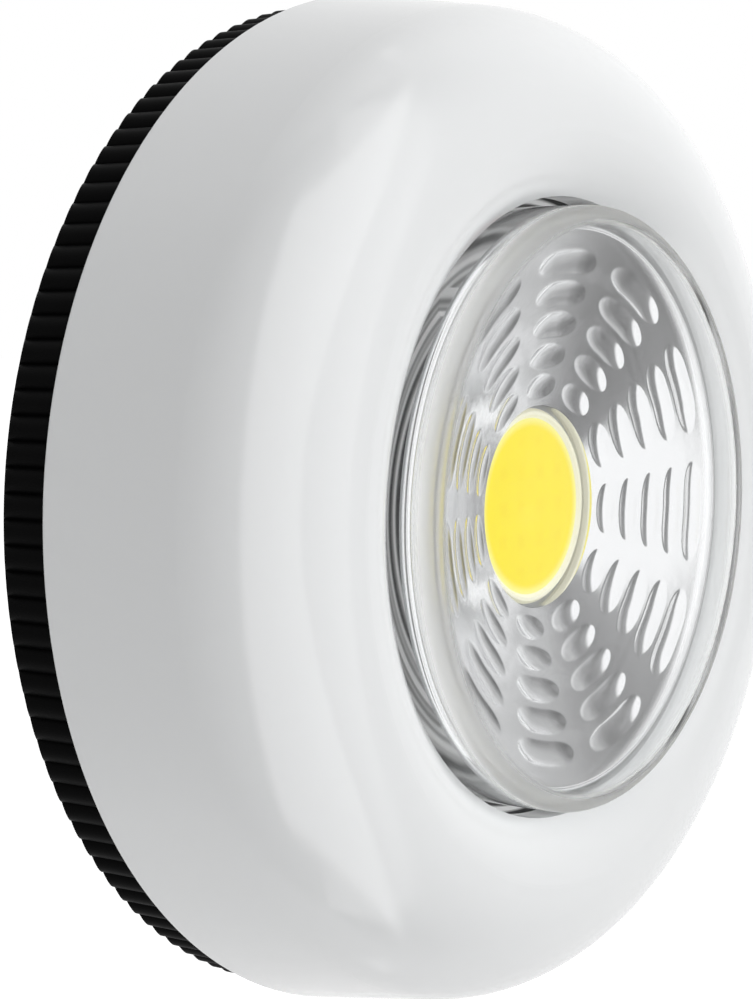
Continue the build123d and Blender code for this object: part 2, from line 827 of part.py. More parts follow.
# Carrier: holds the lamp board, props the reflector and hooks over the lens flange
hook_angles = [hook_first_angle + index * 360 / hook_count for index in range(hook_count)]
post_front = cone_depth(carrier_post_circle_radius - carrier_post_radius) - sheet_depth
with BuildPart() as led_carrier:
    with BuildSketch(at_depth(carrier_back)):
        Circle(carrier_radius)
        Circle(carrier_window_radius, mode=Mode.SUBTRACT)
        with Locations((red_lead_x, lead_z), (black_lead_x, -lead_z)):
            Circle(lead_radius + lead_hole_gap, mode=Mode.SUBTRACT)
    extrude(amount=carrier_plate)
    with BuildSketch(at_depth(board_back)):
        Circle(board_radius + board_gap)
        with Locations(*key_points):
            Circle(board_key_radius - board_gap, mode=Mode.SUBTRACT)
    extrude(amount=carrier_plate, mode=Mode.SUBTRACT)
    with BuildSketch(at_depth(carrier_front)):
        with PolarLocations(carrier_post_circle_radius, carrier_post_count):
            Circle(carrier_post_radius)
    extrude(amount=post_front - carrier_front)
    with BuildSketch(at_depth(carrier_back - carrier_pin_length)):
        with Locations(*well_points):
            Circle(carrier_pin_radius)
    extrude(amount=carrier_pin_length)
    with BuildSketch(at_depth(carrier_front)):
        for angle in hook_angles:
            ring_sector(hook_inner, hook_inner + hook_wall, angle, hook_angle)
    extrude(amount=hook_front - carrier_front)
    with BuildSketch(at_depth(hook_front - hook_nose_thickness)):
        for angle in hook_angles:
            ring_sector(hook_inner - hook_nose_reach, hook_inner + hook_wall / 2, angle, hook_angle)
    extrude(amount=hook_nose_thickness)
led_carrier.part.label = "led_carrier"
export_step(led_carrier.part, "parts/led_carrier.step")

# Push switch: body with a square neck, and a hole for the plunger
with BuildPart() as switch_body:
    with BuildSketch(at_depth(switch_back)):
        with Locations((switch_offset_x, switch_z)):
            Rectangle(switch_side, switch_side)
    extrude(amount=switch_height)
    with BuildSketch(at_depth(switch_front)):
        with Locations((switch_offset_x, switch_z)):
            Rectangle(switch_neck_side, switch_neck_side)
    extrude(amount=switch_neck_height)
    with BuildSketch(at_depth(plunger_back - push_travel - plunger_foot_gap)):
        with Locations((switch_offset_x, switch_z)):
            Rectangle(plunger_side + 2 * plunger_gap, plunger_side + 2 * plunger_gap)
    extrude(amount=switch_height + switch_neck_height, mode=Mode.SUBTRACT)
switch_body.part.label = "switch_body"
export_step(switch_body.part, "parts/switch_body.step")

with BuildPart() as switch_plunger:
    with BuildSketch(at_depth(plunger_back)):
        with Locations((switch_offset_x, switch_z)):
            Rectangle(plunger_side, plunger_side)
    extrude(amount=carrier_back - plunger_back)
switch_plunger.part.label = "switch_plunger"
export_step(switch_plunger.part, "parts/switch_plunger.step")

# Switch board behind the switch, with holes for the pins and one screw
pin_points = [
    (switch_offset_x + x * switch_pin_spread_x, switch_z + z * switch_pin_spacing)
    for x in (-1, 1)
    for z in (-1, 0, 1)
]
switch_board_middle_z = (switch_board_top_z + switch_board_end_z) / 2
with BuildPart() as switch_board:
    with BuildSketch(at_depth(switch_board_back)):
        with Locations((0, switch_board_middle_z)):
            Rectangle(2 * switch_board_half_width, switch_board_top_z - switch_board_end_z)
        with Locations(*pin_points):
            Rectangle(
                switch_pin_side + switch_pin_hole_gap,
                switch_pin_side + switch_pin_hole_gap,
                mode=Mode.SUBTRACT,
            )
        with Locations((board_post_offset_x, board_post_z)):
            Circle(board_screw_hole_radius, mode=Mode.SUBTRACT)
    extrude(amount=switch_board_thickness)
switch_board.part.label = "switch_board"
export_step(switch_board.part, "parts/switch_board.step")

with BuildPart() as switch_pins:
    with BuildSketch(at_depth(switch_board_back - switch_pin_reach)):
        with Locations(*pin_points):
            Rectangle(switch_pin_side, switch_pin_side)
    extrude(amount=switch_pin_reach + switch_board_thickness)
switch_pins.part.label = "switch_pins"
export_step(switch_pins.part, "parts/switch_pins.step")

# Series resistor behind the switch board, its leads bent to the board
resistor_depth = switch_board_back - resistor_lift
resistor_end = resistor_length / 2 + resistor_lead_run
with BuildPart() as resistor:
    with BuildSketch(at_depth(resistor_depth)):
        with Locations((resistor_offset_x + resistor_radius / 2, switch_z)):
            Rectangle(resistor_radius, resistor_length)
    revolve(axis=Axis(place(resistor_offset_x, 0, resistor_depth), (0, 0, 1)))
    for side in (-1, 1):
        with BuildLine() as lead_line:
            FilletPolyline(
                place(resistor_offset_x, switch_z + side * resistor_length / 2, resistor_depth),
                place(resistor_offset_x, switch_z + side * resistor_end, resistor_depth),
                place(resistor_offset_x, switch_z + side * resistor_end, switch_board_back),
                radius=resistor_lead_bend,
            )
        lead_path = lead_line.wires()[0]
        with BuildSketch(Plane(origin=lead_path @ 0, z_dir=lead_path % 0)):
            Circle(resistor_lead_radius)
        sweep(path=lead_path)
resistor.part.label = "resistor"
export_step(resistor.part, "parts/resistor.step")


def screw(x, z, head_front, head_radius, head_height, shank_radius, length):
    """A pan-head screw driven towards the front, added to the open part."""
    with BuildSketch(at_depth(head_front - head_height)) as head:
        with Locations((x, z)):
            Circle(head_radius)
    extrude(head.sketch, amount=head_height)
    with BuildSketch(at_depth(head_front)) as shank:
        with Locations((x, z)):
            Circle(shank_radius)
    extrude(shank.sketch, amount=length)
    with BuildSketch(at_depth(head_front - head_height)) as cross:
        with Locations((x, z)):
            Rectangle(2 * head_radius, screw_slot_width)
            Rectangle(screw_slot_width, 2 * head_radius)
    extrude(cross.sketch, amount=screw_slot_depth, mode=Mode.SUBTRACT)


with BuildPart() as tray_screws:
    for index in range(boss_count):
        boss_angle = math.radians(boss_first_angle + index * 360 / boss_count)
        screw(
            boss_circle_radius * math.cos(boss_angle),
            boss_circle_radius * math.sin(boss_angle),
            tray_plate_back,
            tray_screw_head_radius,
            tray_screw_head_height,
            tray_screw_shank_radius,
            tray_screw_length,
        )
tray_screws.part.label = "tray_screws"
export_step(tray_screws.part, "parts/tray_screws.step")

with BuildPart() as board_screw:
    screw(
        board_post_offset_x,
        board_post_z,
        switch_board_back,
        board_screw_head_radius,
        board_screw_head_height,
        board_screw_shank_radius,
        board_screw_length,
    )
board_screw.part.label = "board_screw"
export_step(board_screw.part, "parts/board_screw.step")


def lead(points, radii):
    """A round insulated lead along straight runs joined by arcs."""
    with BuildPart() as wire:
        with BuildLine() as route:
            FilletPolyline(*points, radius=radii)
        path = route.wires()[0]
        with BuildSketch(Plane(origin=path @ 0, z_dir=path % 0)):
            Circle(lead_radius)
        sweep(path=path)
    length = path.length
    print("lead length", round(length, 1), "bends", [round(radius, 2) for radius in radii])
    print("lead volume share", round(wire.part.volume / (math.pi * lead_radius**2 * length), 4))
    return wire


# Red lead: lamp board to the positive plate, outside the wells and the battery box
side_x = tail_end_x - lead_radius
outside_well_z = well_z + well_outer_radius + lead_wall_gap + lead_radius
side_turn_z = math.sqrt(lead_clear_radius**2 - side_x**2)
side_angle = math.atan2(side_turn_z, side_x)
well_turn_x = well_offset_x + well_outer_radius
well_turn_angle = math.atan2(outside_well_z, well_turn_x)
red_turn_angle = side_angle + red_turn_share * (well_turn_angle - side_angle)
red_turn_x = lead_clear_radius * math.cos(red_turn_angle)
red_turn_z = lead_clear_radius * math.sin(red_turn_angle)
lead_red = lead(
    [
        place(red_lead_x, lead_start_z, lead_top_depth),
        place(red_lead_x, lead_z, lead_top_depth),
        place(red_lead_x, lead_z, lead_tray_depth),
        place(red_lead_x, outside_well_z, lead_tray_depth),
        place(well_turn_x, outside_well_z, lead_tray_depth),
        place(red_turn_x, red_turn_z, lead_tray_depth),
        place(side_x, side_turn_z, lead_tray_depth),
        place(side_x, cell_pitch + contact_tail_width / 2, lead_tray_depth),
    ],
    [
        lead_bend_radius,
        lead_bend_radius,
        lead_bend_radius,
        lead_sweep_radius,
        lead_sweep_radius,
        lead_bend_radius,
    ],
)
lead_red.part.label = "lead_red"
export_step(lead_red.part, "parts/lead_red.step")

# Black battery lead: negative plate to the switch board
board_end_z = switch_z - switch_side / 2 - lead_switch_gap - lead_radius
board_end_x = switch_offset_x - switch_side / 2 + 2 * lead_radius
board_turn_x = well_offset_x + lead_bend_radius
board_turn_angle = math.atan2(-board_end_z, board_turn_x)
battery_turn_angle = side_angle + battery_turn_share * (board_turn_angle - side_angle)
battery_turn_x = -lead_clear_radius * math.cos(battery_turn_angle)
battery_turn_z = board_end_z + lead_sweep_radius
lead_battery = lead(
    [
        place(-side_x, -cell_pitch - contact_tail_width / 2, lead_tray_depth),
        place(-side_x, -side_turn_z, lead_tray_depth),
        place(battery_turn_x, battery_turn_z, lead_tray_depth),
        place(-board_turn_x, board_end_z, lead_tray_depth),
        place(board_end_x, board_end_z, lead_tray_depth),
        place(board_end_x, board_end_z, switch_back),
    ],
    [lead_bend_radius, lead_sweep_radius, lead_sweep_radius, lead_end_drop],
)
lead_battery.part.label = "lead_battery"
export_step(lead_battery.part, "parts/lead_battery.step")

# Black lamp lead: lamp board straight back to the switch board
lead_lamp = lead(
    [
        place(black_lead_x, -lead_start_z, lead_top_depth),
        place(black_lead_x, -lead_z, lead_top_depth),
        place(black_lead_x, -lead_z, switch_back),
    ],
    [lead_bend_radius],
)
lead_lamp.part.label = "lead_lamp"
export_step(lead_lamp.part, "parts/lead_lamp.step")

print("housing diameter", round(2 * housing_radius, 2), "overall depth", round(lens_front, 2))
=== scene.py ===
"""Looks of a round stick-on push light, built around its fixed frame.

The light's axis runs along -Y, out of the wall, and the wall is the plane y = 0. A depth is a distance
from the wall towards the viewer. Sizes are in metres, written as millimetres times MM. Angles are in
degrees where nothing else is said.
"""

import json
import logging
import math
from collections.abc import Sequence
from dataclasses import dataclass, replace
from enum import Enum
from itertools import pairwise

import bpy
from mathutils import Matrix, Vector


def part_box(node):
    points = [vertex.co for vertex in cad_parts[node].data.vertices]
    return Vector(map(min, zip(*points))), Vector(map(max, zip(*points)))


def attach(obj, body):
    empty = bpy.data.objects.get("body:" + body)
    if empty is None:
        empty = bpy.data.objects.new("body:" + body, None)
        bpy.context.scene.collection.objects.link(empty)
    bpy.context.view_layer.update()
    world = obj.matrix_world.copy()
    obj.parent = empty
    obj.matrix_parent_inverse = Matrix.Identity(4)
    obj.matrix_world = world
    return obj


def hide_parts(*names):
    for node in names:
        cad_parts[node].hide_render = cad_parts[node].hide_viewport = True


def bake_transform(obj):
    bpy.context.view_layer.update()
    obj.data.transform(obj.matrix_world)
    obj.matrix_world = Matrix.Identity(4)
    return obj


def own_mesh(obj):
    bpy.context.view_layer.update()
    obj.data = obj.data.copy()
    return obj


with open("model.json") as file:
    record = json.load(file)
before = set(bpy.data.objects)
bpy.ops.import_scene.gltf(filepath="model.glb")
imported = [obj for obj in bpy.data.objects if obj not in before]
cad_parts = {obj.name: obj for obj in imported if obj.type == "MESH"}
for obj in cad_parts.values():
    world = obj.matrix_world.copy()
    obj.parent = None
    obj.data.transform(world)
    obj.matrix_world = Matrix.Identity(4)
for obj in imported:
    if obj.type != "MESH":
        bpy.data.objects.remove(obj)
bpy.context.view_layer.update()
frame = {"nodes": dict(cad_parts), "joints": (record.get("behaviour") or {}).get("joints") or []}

MM = 0.001
FULL_TURN = 2 * math.pi
IMAGE_HEIGHT_PIXELS = 1000
WHITE = (1.0, 1.0, 1.0)

Point = tuple[float, float]
Colour = tuple[float, float, float]
Vector3 = tuple[float, float, float]

log = logging.getLogger("push_light")


class Body(Enum):
    """The bodies that pieces ride on."""

    BASE = "base"
    HOUSING = "housing"
    LENS = "push_module"


class Shading(Enum):
    """How a mesh's faces are shaded."""

    FLAT = "flat"
    SMOOTH = "smooth"
    BY_ANGLE = "by_angle"


# Shader maths


class Signal:
    """One output of a shader node, on which Python's operators add Math nodes."""

    def __init__(self, graph: "Graph", socket: bpy.types.NodeSocket) -> None:
        """Wraps a socket of a graph.

        Args:
            graph: The graph that the socket belongs to.
            socket: The output socket.
        """
        self.graph = graph
        self.socket = socket

    def maths(self, operation: str, other: "Signal | float", swapped: bool = False) -> "Signal":
        """Adds a Math node on this signal and another.

        Args:
            operation: The Math node's operation.
            other: The second signal or a number.
            swapped: True if the other one comes first.

        Returns:
            The Math node's output.
        """
        first, second = (other, self) if swapped else (self, other)
        return self.graph.node("ShaderNodeMath", {"operation": operation}, {0: first, 1: second})

    def __add__(self, other: "Signal | float") -> "Signal":
        """This plus another."""
        return self.maths("ADD", other)

    def __radd__(self, other: "Signal | float") -> "Signal":
        """Another plus this."""
        return self.maths("ADD", other, swapped=True)

    def __sub__(self, other: "Signal | float") -> "Signal":
        """This minus another."""
        return self.maths("SUBTRACT", other)

    def __rsub__(self, other: "Signal | float") -> "Signal":
        """Another minus this."""
        return self.maths("SUBTRACT", other, swapped=True)

    def __mul__(self, other: "Signal | float") -> "Signal":
        """This times another."""
        return self.maths("MULTIPLY", other)

    def __rmul__(self, other: "Signal | float") -> "Signal":
        """Another times this."""
        return self.maths("MULTIPLY", other, swapped=True)

    def __truediv__(self, other: "Signal | float") -> "Signal":
        """This divided by another."""
        return self.maths("DIVIDE", other)

    def __rtruediv__(self, other: "Signal | float") -> "Signal":
        """Another divided by this."""
        return self.maths("DIVIDE", other, swapped=True)

    def __gt__(self, other: "Signal | float") -> "Signal":
        """1 where this is greater, else 0."""
        return self.maths("GREATER_THAN", other)

    def __lt__(self, other: "Signal | float") -> "Signal":
        """1 where this is less, else 0."""
        return self.maths("LESS_THAN", other)

    def largest(self, other: "Signal | float") -> "Signal":
        """The larger of this and another."""
        return self.maths("MAXIMUM", other)

    def power(self, exponent: float) -> "Signal":
        """This raised to an exponent."""
        return self.maths("POWER", exponent)

    def size(self) -> "Signal":
        """This without its sign."""
        return self.graph.node("ShaderNodeMath", {"operation": "ABSOLUTE"}, {0: self})

    def from_middle(self) -> "Signal":
        """How far the part of this behind the decimal point lies from 0.5."""
        return (self.maths("FRACT", 0.0) - 0.5).size()

    def eased(self, low: float, high: float) -> "Signal":
        """A smooth step from 0 at low to 1 at high.

        Args:
            low: The value at which the step starts.
            high: The value at which it ends.

        Returns:
            The step.
        """
        return self.graph.node(
            "ShaderNodeMapRange",
            {"interpolation_type": "SMOOTHSTEP"},
            {"Value": self, "From Min": low, "From Max": high},
        )


Feed = Signal | float | Sequence[float]


class Graph:
    """A shader node tree that is filled by expressions."""

    def __init__(self, tree: bpy.types.NodeTree) -> None:
        """Empties a node tree and keeps it.

        Args:
            tree: The node tree of a material or of the world.
        """
        self.tree = tree
        tree.nodes.clear()

    def node(
        self,
        kind: str,
        settings: dict[str, object] | None = None,
        inputs: dict[str | int, Feed] | None = None,
        output: str | int = 0,
    ) -> Signal:
        """Adds any node.

        Args:
            kind: The node's type.
            settings: Its settings, set first. The key stops gives a ramp's places and colours.
            inputs: The values or signals of its sockets, by name or number.
            output: The socket to return.

        Returns:
            The chosen output.
        """
        made = self.tree.nodes.new(kind)
        for key, value in (settings or {}).items():
            if key == "stops":
                self._set_stops(made, value)
            else:
                setattr(made, key, value)
        for key, value in (inputs or {}).items():
            self.feed(made.inputs[key], value)
        return Signal(self, made.outputs[output])

    def _set_stops(self, ramp: bpy.types.Node, stops: Sequence[tuple[float, Colour]]) -> None:
        """Gives a ramp its stops.

        Args:
            ramp: A Color Ramp node.
            stops: Places from 0 to 1, each with a colour.
        """
        elements = ramp.color_ramp.elements
        while len(elements) < len(stops):
            elements.new(1.0)
        for element, (place, colour) in zip(elements, stops):
            element.position = place
            element.color = (*colour, 1.0)

    def feed(self, socket: bpy.types.NodeSocket, value: Feed) -> None:
        """Links a signal to a socket, or sets its value.

        Args:
            socket: The input socket.
            value: A signal, a number or a colour or vector.
        """
        if isinstance(value, Signal):
            self.tree.links.new(value.socket, socket)
        elif isinstance(value, (int, float)):
            socket.default_value = value
        elif socket.type == "RGBA":
            socket.default_value = (*value, 1.0)
        else:
            socket.default_value = tuple(value)

    def blend(self, share: Feed, low: Feed, high: Feed) -> Signal:
        """Mixes two colours.

        Args:
            share: 0 for the first colour, 1 for the second.
            low: The first colour.
            high: The second colour.

        Returns:
            The mixed colour.
        """
        return self.node("ShaderNodeMix", {"data_type": "RGBA"}, {0: share, 6: low, 7: high}, 2)

    def ray(self, kind: str) -> Signal:
        """1 on rays of one kind, such as Is Camera Ray, else 0."""
        return self.node("ShaderNodeLightPath", output=kind)

    def place(self) -> Signal:
        """The place in the row frame, in metres."""
        return self.node("ShaderNodeTexCoord", output="Object")

    def parts(self, vector: Signal) -> tuple[Signal, Signal, Signal]:
        """The three parts of a vector.

        Args:
            vector: A vector signal.

        Returns:
            Its X, Y and Z.
        """
        split = self.node("ShaderNodeSeparateXYZ", inputs={0: vector}).socket.node
        return tuple(Signal(self, socket) for socket in split.outputs)

    def from_axis(self) -> Signal:
        """The distance from the light's axis, in metres."""
        across, _, upward = self.parts(self.place())
        return (across * across + upward * upward).power(0.5)

    def grain(self, cell: float, detail: float = 2.0, stretch: Vector3 | None = None) -> Signal:
        """Noise between 0 and 1 whose features have a given size.

        Args:
            cell: The size of its features, in metres.
            detail: How many finer layers it has.
            stretch: How much finer it is along each axis, or None for the same all round.

        Returns:
            The noise.
        """
        place = self.place()
        if stretch is not None:
            place = self.node("ShaderNodeMapping", inputs={"Vector": place, "Scale": stretch})
        inputs = {"Vector": place, "Scale": 1 / cell, "Detail": detail}
        return self.node("ShaderNodeTexNoise", inputs=inputs)

    def relief(self, height: Signal, depth: float) -> Signal:
        """A bump from a height between 0 and 1.

        Args:
            height: The height.
            depth: What a height of 1 measures, in metres.

        Returns:
            The normal.
        """
        return self.node("ShaderNodeBump", inputs={"Height": height, "Distance": depth}, output="Normal")

    def surface(self, **inputs: Feed) -> Signal:
        """A Principled shader.

        Args:
            **inputs: Its sockets, with underscores for the spaces in their names.

        Returns:
            The shader.
        """
        named = {name.replace("_", " "): value for name, value in inputs.items()}
        return self.node("ShaderNodeBsdfPrincipled", inputs=named)

    def finish(self, shader: Signal, kind: str = "ShaderNodeOutputMaterial") -> None:
        """Sends a shader to the output.

        Args:
            shader: The shader.
            kind: The output node's type.
        """
        end = self.tree.nodes.new(kind)
        self.tree.links.new(shader.socket, end.inputs["Surface"])


# Finishes


@dataclass(frozen=True)
class Finish:
    """A material that is described by a few values."""

    name: str
    colour: Colour

    def shaded(self, share: float) -> Colour:
        """This finish's colour times a share."""
        red, green, blue = self.colour
        return red * share, green * share, blue * share

    def make(self) -> bpy.types.Material:
        """Builds the material.

        Returns:
            The material.
        """
        material = bpy.data.materials.new(self.name)
        material.use_nodes = True
        graph = Graph(material.node_tree)
        graph.finish(self.shader(graph))
        return material

    def shader(self, graph: Graph) -> Signal:
        """The shader of this finish. Each kind of finish has its own.

        Args:
            graph: The material's graph.

        Returns:
            The shader.
        """
        return graph.surface(Base_Color=self.colour)


@dataclass(frozen=True)
class Plastic(Finish):
    """Moulded plastic, from polished to textured."""

    roughness: float = 0.4
    texture_cell: float = 0.25 * MM
    texture_depth: float = 0.004 * MM
    tint_change: float = 0.03
    smudge_cell: float = 9 * MM
    smudge: float = 0.04
    shine: float = 0.5
    # Strength of a painted glow, on parts that are no lamp.
    glow: float = 0.0

    def shader(self, graph: Graph) -> Signal:
        """Colour and gloss drift a little over the surface, over a fine texture from the mould, with a
        painted glow where one is set.

        Args:
            graph: The material's graph.

        Returns:
            The shader.
        """
        drift = graph.grain(self.smudge_cell, detail=3.0)
        texture = graph.grain(self.texture_cell, detail=2.0)
        # Emission in the plastic's own colour gives the painted glow.
        return graph.surface(
            Base_Color=graph.blend(drift, self.shaded(1 - self.tint_change), self.colour),
            Roughness=drift * self.smudge + (self.roughness - self.smudge / 2),
            Specular_IOR_Level=self.shine,
            Emission_Color=self.colour,
            Emission_Strength=self.glow,
            Normal=graph.relief(texture, self.texture_depth),
        )


@dataclass(frozen=True)
class RingShadedPlastic(Plastic):
    """White plastic with dark rings of painted shade round the axis, and a painted glow that keeps it
    bright.
    """

    ring_width: float = 0.8 * MM
    # How dark the rings' painted shade is.
    painted_ring_shade: float = 0.03
    ring_low: float = 0.35
    ring_high: float = 0.65

    def shader(self, graph: Graph) -> Signal:
        """Darker rings of painted shade that change with the distance from the axis.

        Args:
            graph: The material's graph.

        Returns:
            The shader.
        """
        rings = graph.node(
            "ShaderNodeTexNoise",
            {"noise_dimensions": "1D"},
            {"W": graph.from_axis(), "Scale": 1 / self.ring_width, "Detail": 1.0},
        )
        share = rings.eased(self.ring_low, self.ring_high)
        # Painted shade in the dark rings; the painted glow takes the same tone.
        tone = graph.blend(share, self.shaded(self.painted_ring_shade), self.colour)
        return graph.surface(
            Base_Color=tone,
            Emission_Color=tone,
            Emission_Strength=self.glow,
            Roughness=graph.grain(self.smudge_cell) * self.smudge + self.roughness,
        )


@dataclass(frozen=True)
class ClearPlastic(Finish):
    """Clear polished plastic that lets soft light through, with a milky front corner."""

    index: float = 1.53
    edge_start: float = 18.5 * MM
    edge_end: float = 19.3 * MM
    edge_roughness: float = 0.05
    corner_start: float = 20.6 * MM
    corner_end: float = 21.6 * MM
    corner_roughness: float = 0.25
    corner_haze: float = 0.5

    def shader(self, graph: Graph) -> Signal:
        """Refracts what is seen, duller towards the front corner, and lets gathered light pass straight.

        Args:
            graph: The material's graph.

        Returns:
            The shader.
        """
        _, inward, _ = graph.parts(graph.place())
        edge = graph.from_axis().eased(self.edge_start, self.edge_end)
        corner = (0.0 - inward).eased(self.corner_start, self.corner_end)
        clear = graph.surface(
            Base_Color=self.colour,
            Roughness=edge * (corner * self.corner_roughness + self.edge_roughness),
            IOR=self.index,
            Transmission_Weight=1.0,
        )
        milky = graph.node("ShaderNodeBsdfTranslucent", inputs={"Color": self.colour})
        haze = edge * corner * self.corner_haze
        seen = graph.node("ShaderNodeMixShader", inputs={0: haze, 1: clear, 2: milky})
        gathered = graph.ray("Is Shadow Ray").largest(graph.ray("Is Diffuse Ray"))
        straight = graph.node("ShaderNodeBsdfTransparent", inputs={"Color": self.colour})
        return graph.node("ShaderNodeMixShader", inputs={0: gathered, 1: seen, 2: straight})


@dataclass(frozen=True)
class Metal(Finish):
    """Bare or plated metal with fine marks along one way."""

    roughness: float = 0.3
    mark_stretch: Vector3 = (1.0, 1.0, 1.0)
    mark_cell: float = 0.4 * MM
    mark_depth: float = 0.002 * MM
    mark_shade: float = 0.86
    mark_gloss: float = 0.12

    def shader(self, graph: Graph) -> Signal:
        """Metal whose gloss varies along its marks.

        Args:
            graph: The material's graph.

        Returns:
            The shader.
        """
        marks = graph.grain(self.mark_cell, detail=3.0, stretch=self.mark_stretch)
        return graph.surface(
            Base_Color=graph.blend(marks, self.shaded(self.mark_shade), self.colour),
            Metallic=1.0,
            Roughness=marks * self.mark_gloss + (self.roughness - self.mark_gloss / 2),
            Normal=graph.relief(marks, self.mark_depth),
        )


@dataclass(frozen=True)
class MirrorFilm(Finish):
    """Metal film on moulded plastic: bright, with a faint waviness and dusty specks."""

    roughness: float = 0.05
    wave_cell: float = 1.6 * MM
    wave_depth: float = 0.007 * MM
    speck_cell: float = 0.18 * MM
    speck_depth: float = 0.0012 * MM
    speck_gloss: float = 0.04

    def shader(self, graph: Graph) -> Signal:
        """A mirror with two scales of unevenness.

        Args:
            graph: The material's graph.

        Returns:
            The shader.
        """
        waves = graph.grain(self.wave_cell, detail=1.0)
        specks = graph.grain(self.speck_cell, detail=1.0)
        height = waves + specks * (self.speck_depth / self.wave_depth)
        return graph.surface(
            Base_Color=self.colour,
            Metallic=1.0,
            Roughness=specks * self.speck_gloss + self.roughness,
            Normal=graph.relief(height, self.wave_depth),
        )


@dataclass(frozen=True)
class PhosphorGel(Finish):
    """Yellow gel with a painted glow, over the lamp's chips, which show through as faint darker spots."""

    edge_colour: Colour = (0.93, 0.88, 0.32)
    chip_colour: Colour = (0.86, 0.68, 0.02)
    # Strength of the gel's painted glow.
    glow: float = 0.3
    shine: float = 0.25
    roughness: float = 0.28
    radius: float = 6.0 * MM
    pale_start: float = 5.28 * MM
    pale_share: float = 0.8
    chip_pitch: float = 2.3 * MM
    chip_start: float = 0.168 * MM
    chip_end: float = 0.672 * MM
    chip_share: float = 0.3
    outer_chip_start: float = 4.32 * MM
    outer_chip_end: float = 5.16 * MM
    mottle_cell: float = 1.1 * MM
    mottle_share: float = 0.4
    mottle_gloss: float = 0.1
    mottle_depth: float = 0.02 * MM

    def shader(self, graph: Graph) -> Signal:
        """Chips in a square grid under mottled gel that pales towards the dam, with a painted glow in the
        same colours.

        Args:
            graph: The material's graph.

        Returns:
            The shader.
        """
        across, _, upward = graph.parts(graph.place())
        columns = (across / self.chip_pitch).from_middle() * self.chip_pitch
        rows = (upward / self.chip_pitch + 0.5).from_middle() * self.chip_pitch
        chip = 1 - columns.largest(rows).eased(self.chip_start, self.chip_end)
        inside = 1 - graph.from_axis().eased(self.outer_chip_start, self.outer_chip_end)
        mottle = graph.grain(self.mottle_cell, detail=4.0)
        pale = graph.from_axis().eased(self.pale_start, self.radius)
        tone = mottle * self.mottle_share + chip * inside * self.chip_share
        gel = graph.blend(tone, self.colour, self.chip_colour)
        tinted = graph.blend(pale * self.pale_share, gel, self.edge_colour)
        # The gel's colours also give its painted glow.
        return graph.surface(
            Base_Color=tinted,
            Emission_Color=tinted,
            Emission_Strength=self.glow,
            Specular_IOR_Level=self.shine,
            Roughness=mottle * self.mottle_gloss + self.roughness,
            Normal=graph.relief(mottle, self.mottle_depth),
        )


@dataclass(frozen=True)
class Foam(Finish):
    """Closed-cell foam with small pores."""

    roughness: float = 0.85
    pore: float = 0.45 * MM
    pore_depth: float = 0.12 * MM
    pore_start: float = 0.1
    pore_end: float = 0.6
    pore_rim: float = 0.7
    pore_share: float = 0.7
    cloud: float = 3.5 * MM
    # Darkness of the pores' painted shade and of the clouds' own tone.
    shade: float = 0.72

    def shader(self, graph: Graph) -> Signal:
        """Small pores, darker in their sunken middles as painted shade, over broad clouds of a darker grey.

        Args:
            graph: The material's graph.

        Returns:
            The shader.
        """
        cells = graph.node("ShaderNodeTexVoronoi", inputs={"Vector": graph.place(), "Scale": 1 / self.pore})
        clouds = graph.grain(self.cloud, detail=3.0)
        # Painted shade: each pore darkens towards its sunken middle.
        pores = cells.eased(self.pore_start, self.pore_end)
        tone = pores * self.pore_share + clouds * (1 - self.pore_share)
        return graph.surface(
            Base_Color=graph.blend(tone, self.shaded(self.shade), self.colour),
            Roughness=self.roughness,
            Normal=graph.relief(cells.eased(0.0, self.pore_rim), self.pore_depth),
        )


@dataclass(frozen=True)
class CellJacket(Finish):
    """A cell's sleeve: one colour, a lighter band at its positive end and bare metal at both ends."""

    band_colour: Colour = (0.62, 0.34, 0.12)
    metal_colour: Colour = (0.7, 0.7, 0.7)
    positive_side: float = 1.0
    tip: float = 23.5 * MM
    length: float = 44.5 * MM
    bare_end: float = 1.4 * MM
    bare_foot: float = 0.35 * MM
    band: float = 11.0 * MM
    band_blur: float = 0.1 * MM
    metal_share: float = 0.9
    roughness: float = 0.24
    scuff_cell: float = 0.8 * MM
    scuff_gloss: float = 0.12
    scuff_depth: float = 0.004 * MM

    def shader(self, graph: Graph) -> Signal:
        """The sleeve's colours by the place along the cell.

        Args:
            graph: The material's graph.

        Returns:
            The shader.
        """
        across, _, _ = graph.parts(graph.place())
        from_tip = self.tip - across * self.positive_side
        scuffs = graph.grain(self.scuff_cell, detail=4.0)
        band = 1 - from_tip.eased(self.band - self.band_blur, self.band)
        top = 1 - (from_tip > self.bare_end)
        foot = from_tip > (self.length - self.bare_foot)
        bare = top.largest(foot)
        sleeve = graph.blend(band, self.colour, self.band_colour)
        return graph.surface(
            Base_Color=graph.blend(bare, sleeve, self.metal_colour),
            Metallic=bare * self.metal_share,
            Roughness=scuffs * self.scuff_gloss + self.roughness,
            Normal=graph.relief(scuffs, self.scuff_depth),
        )


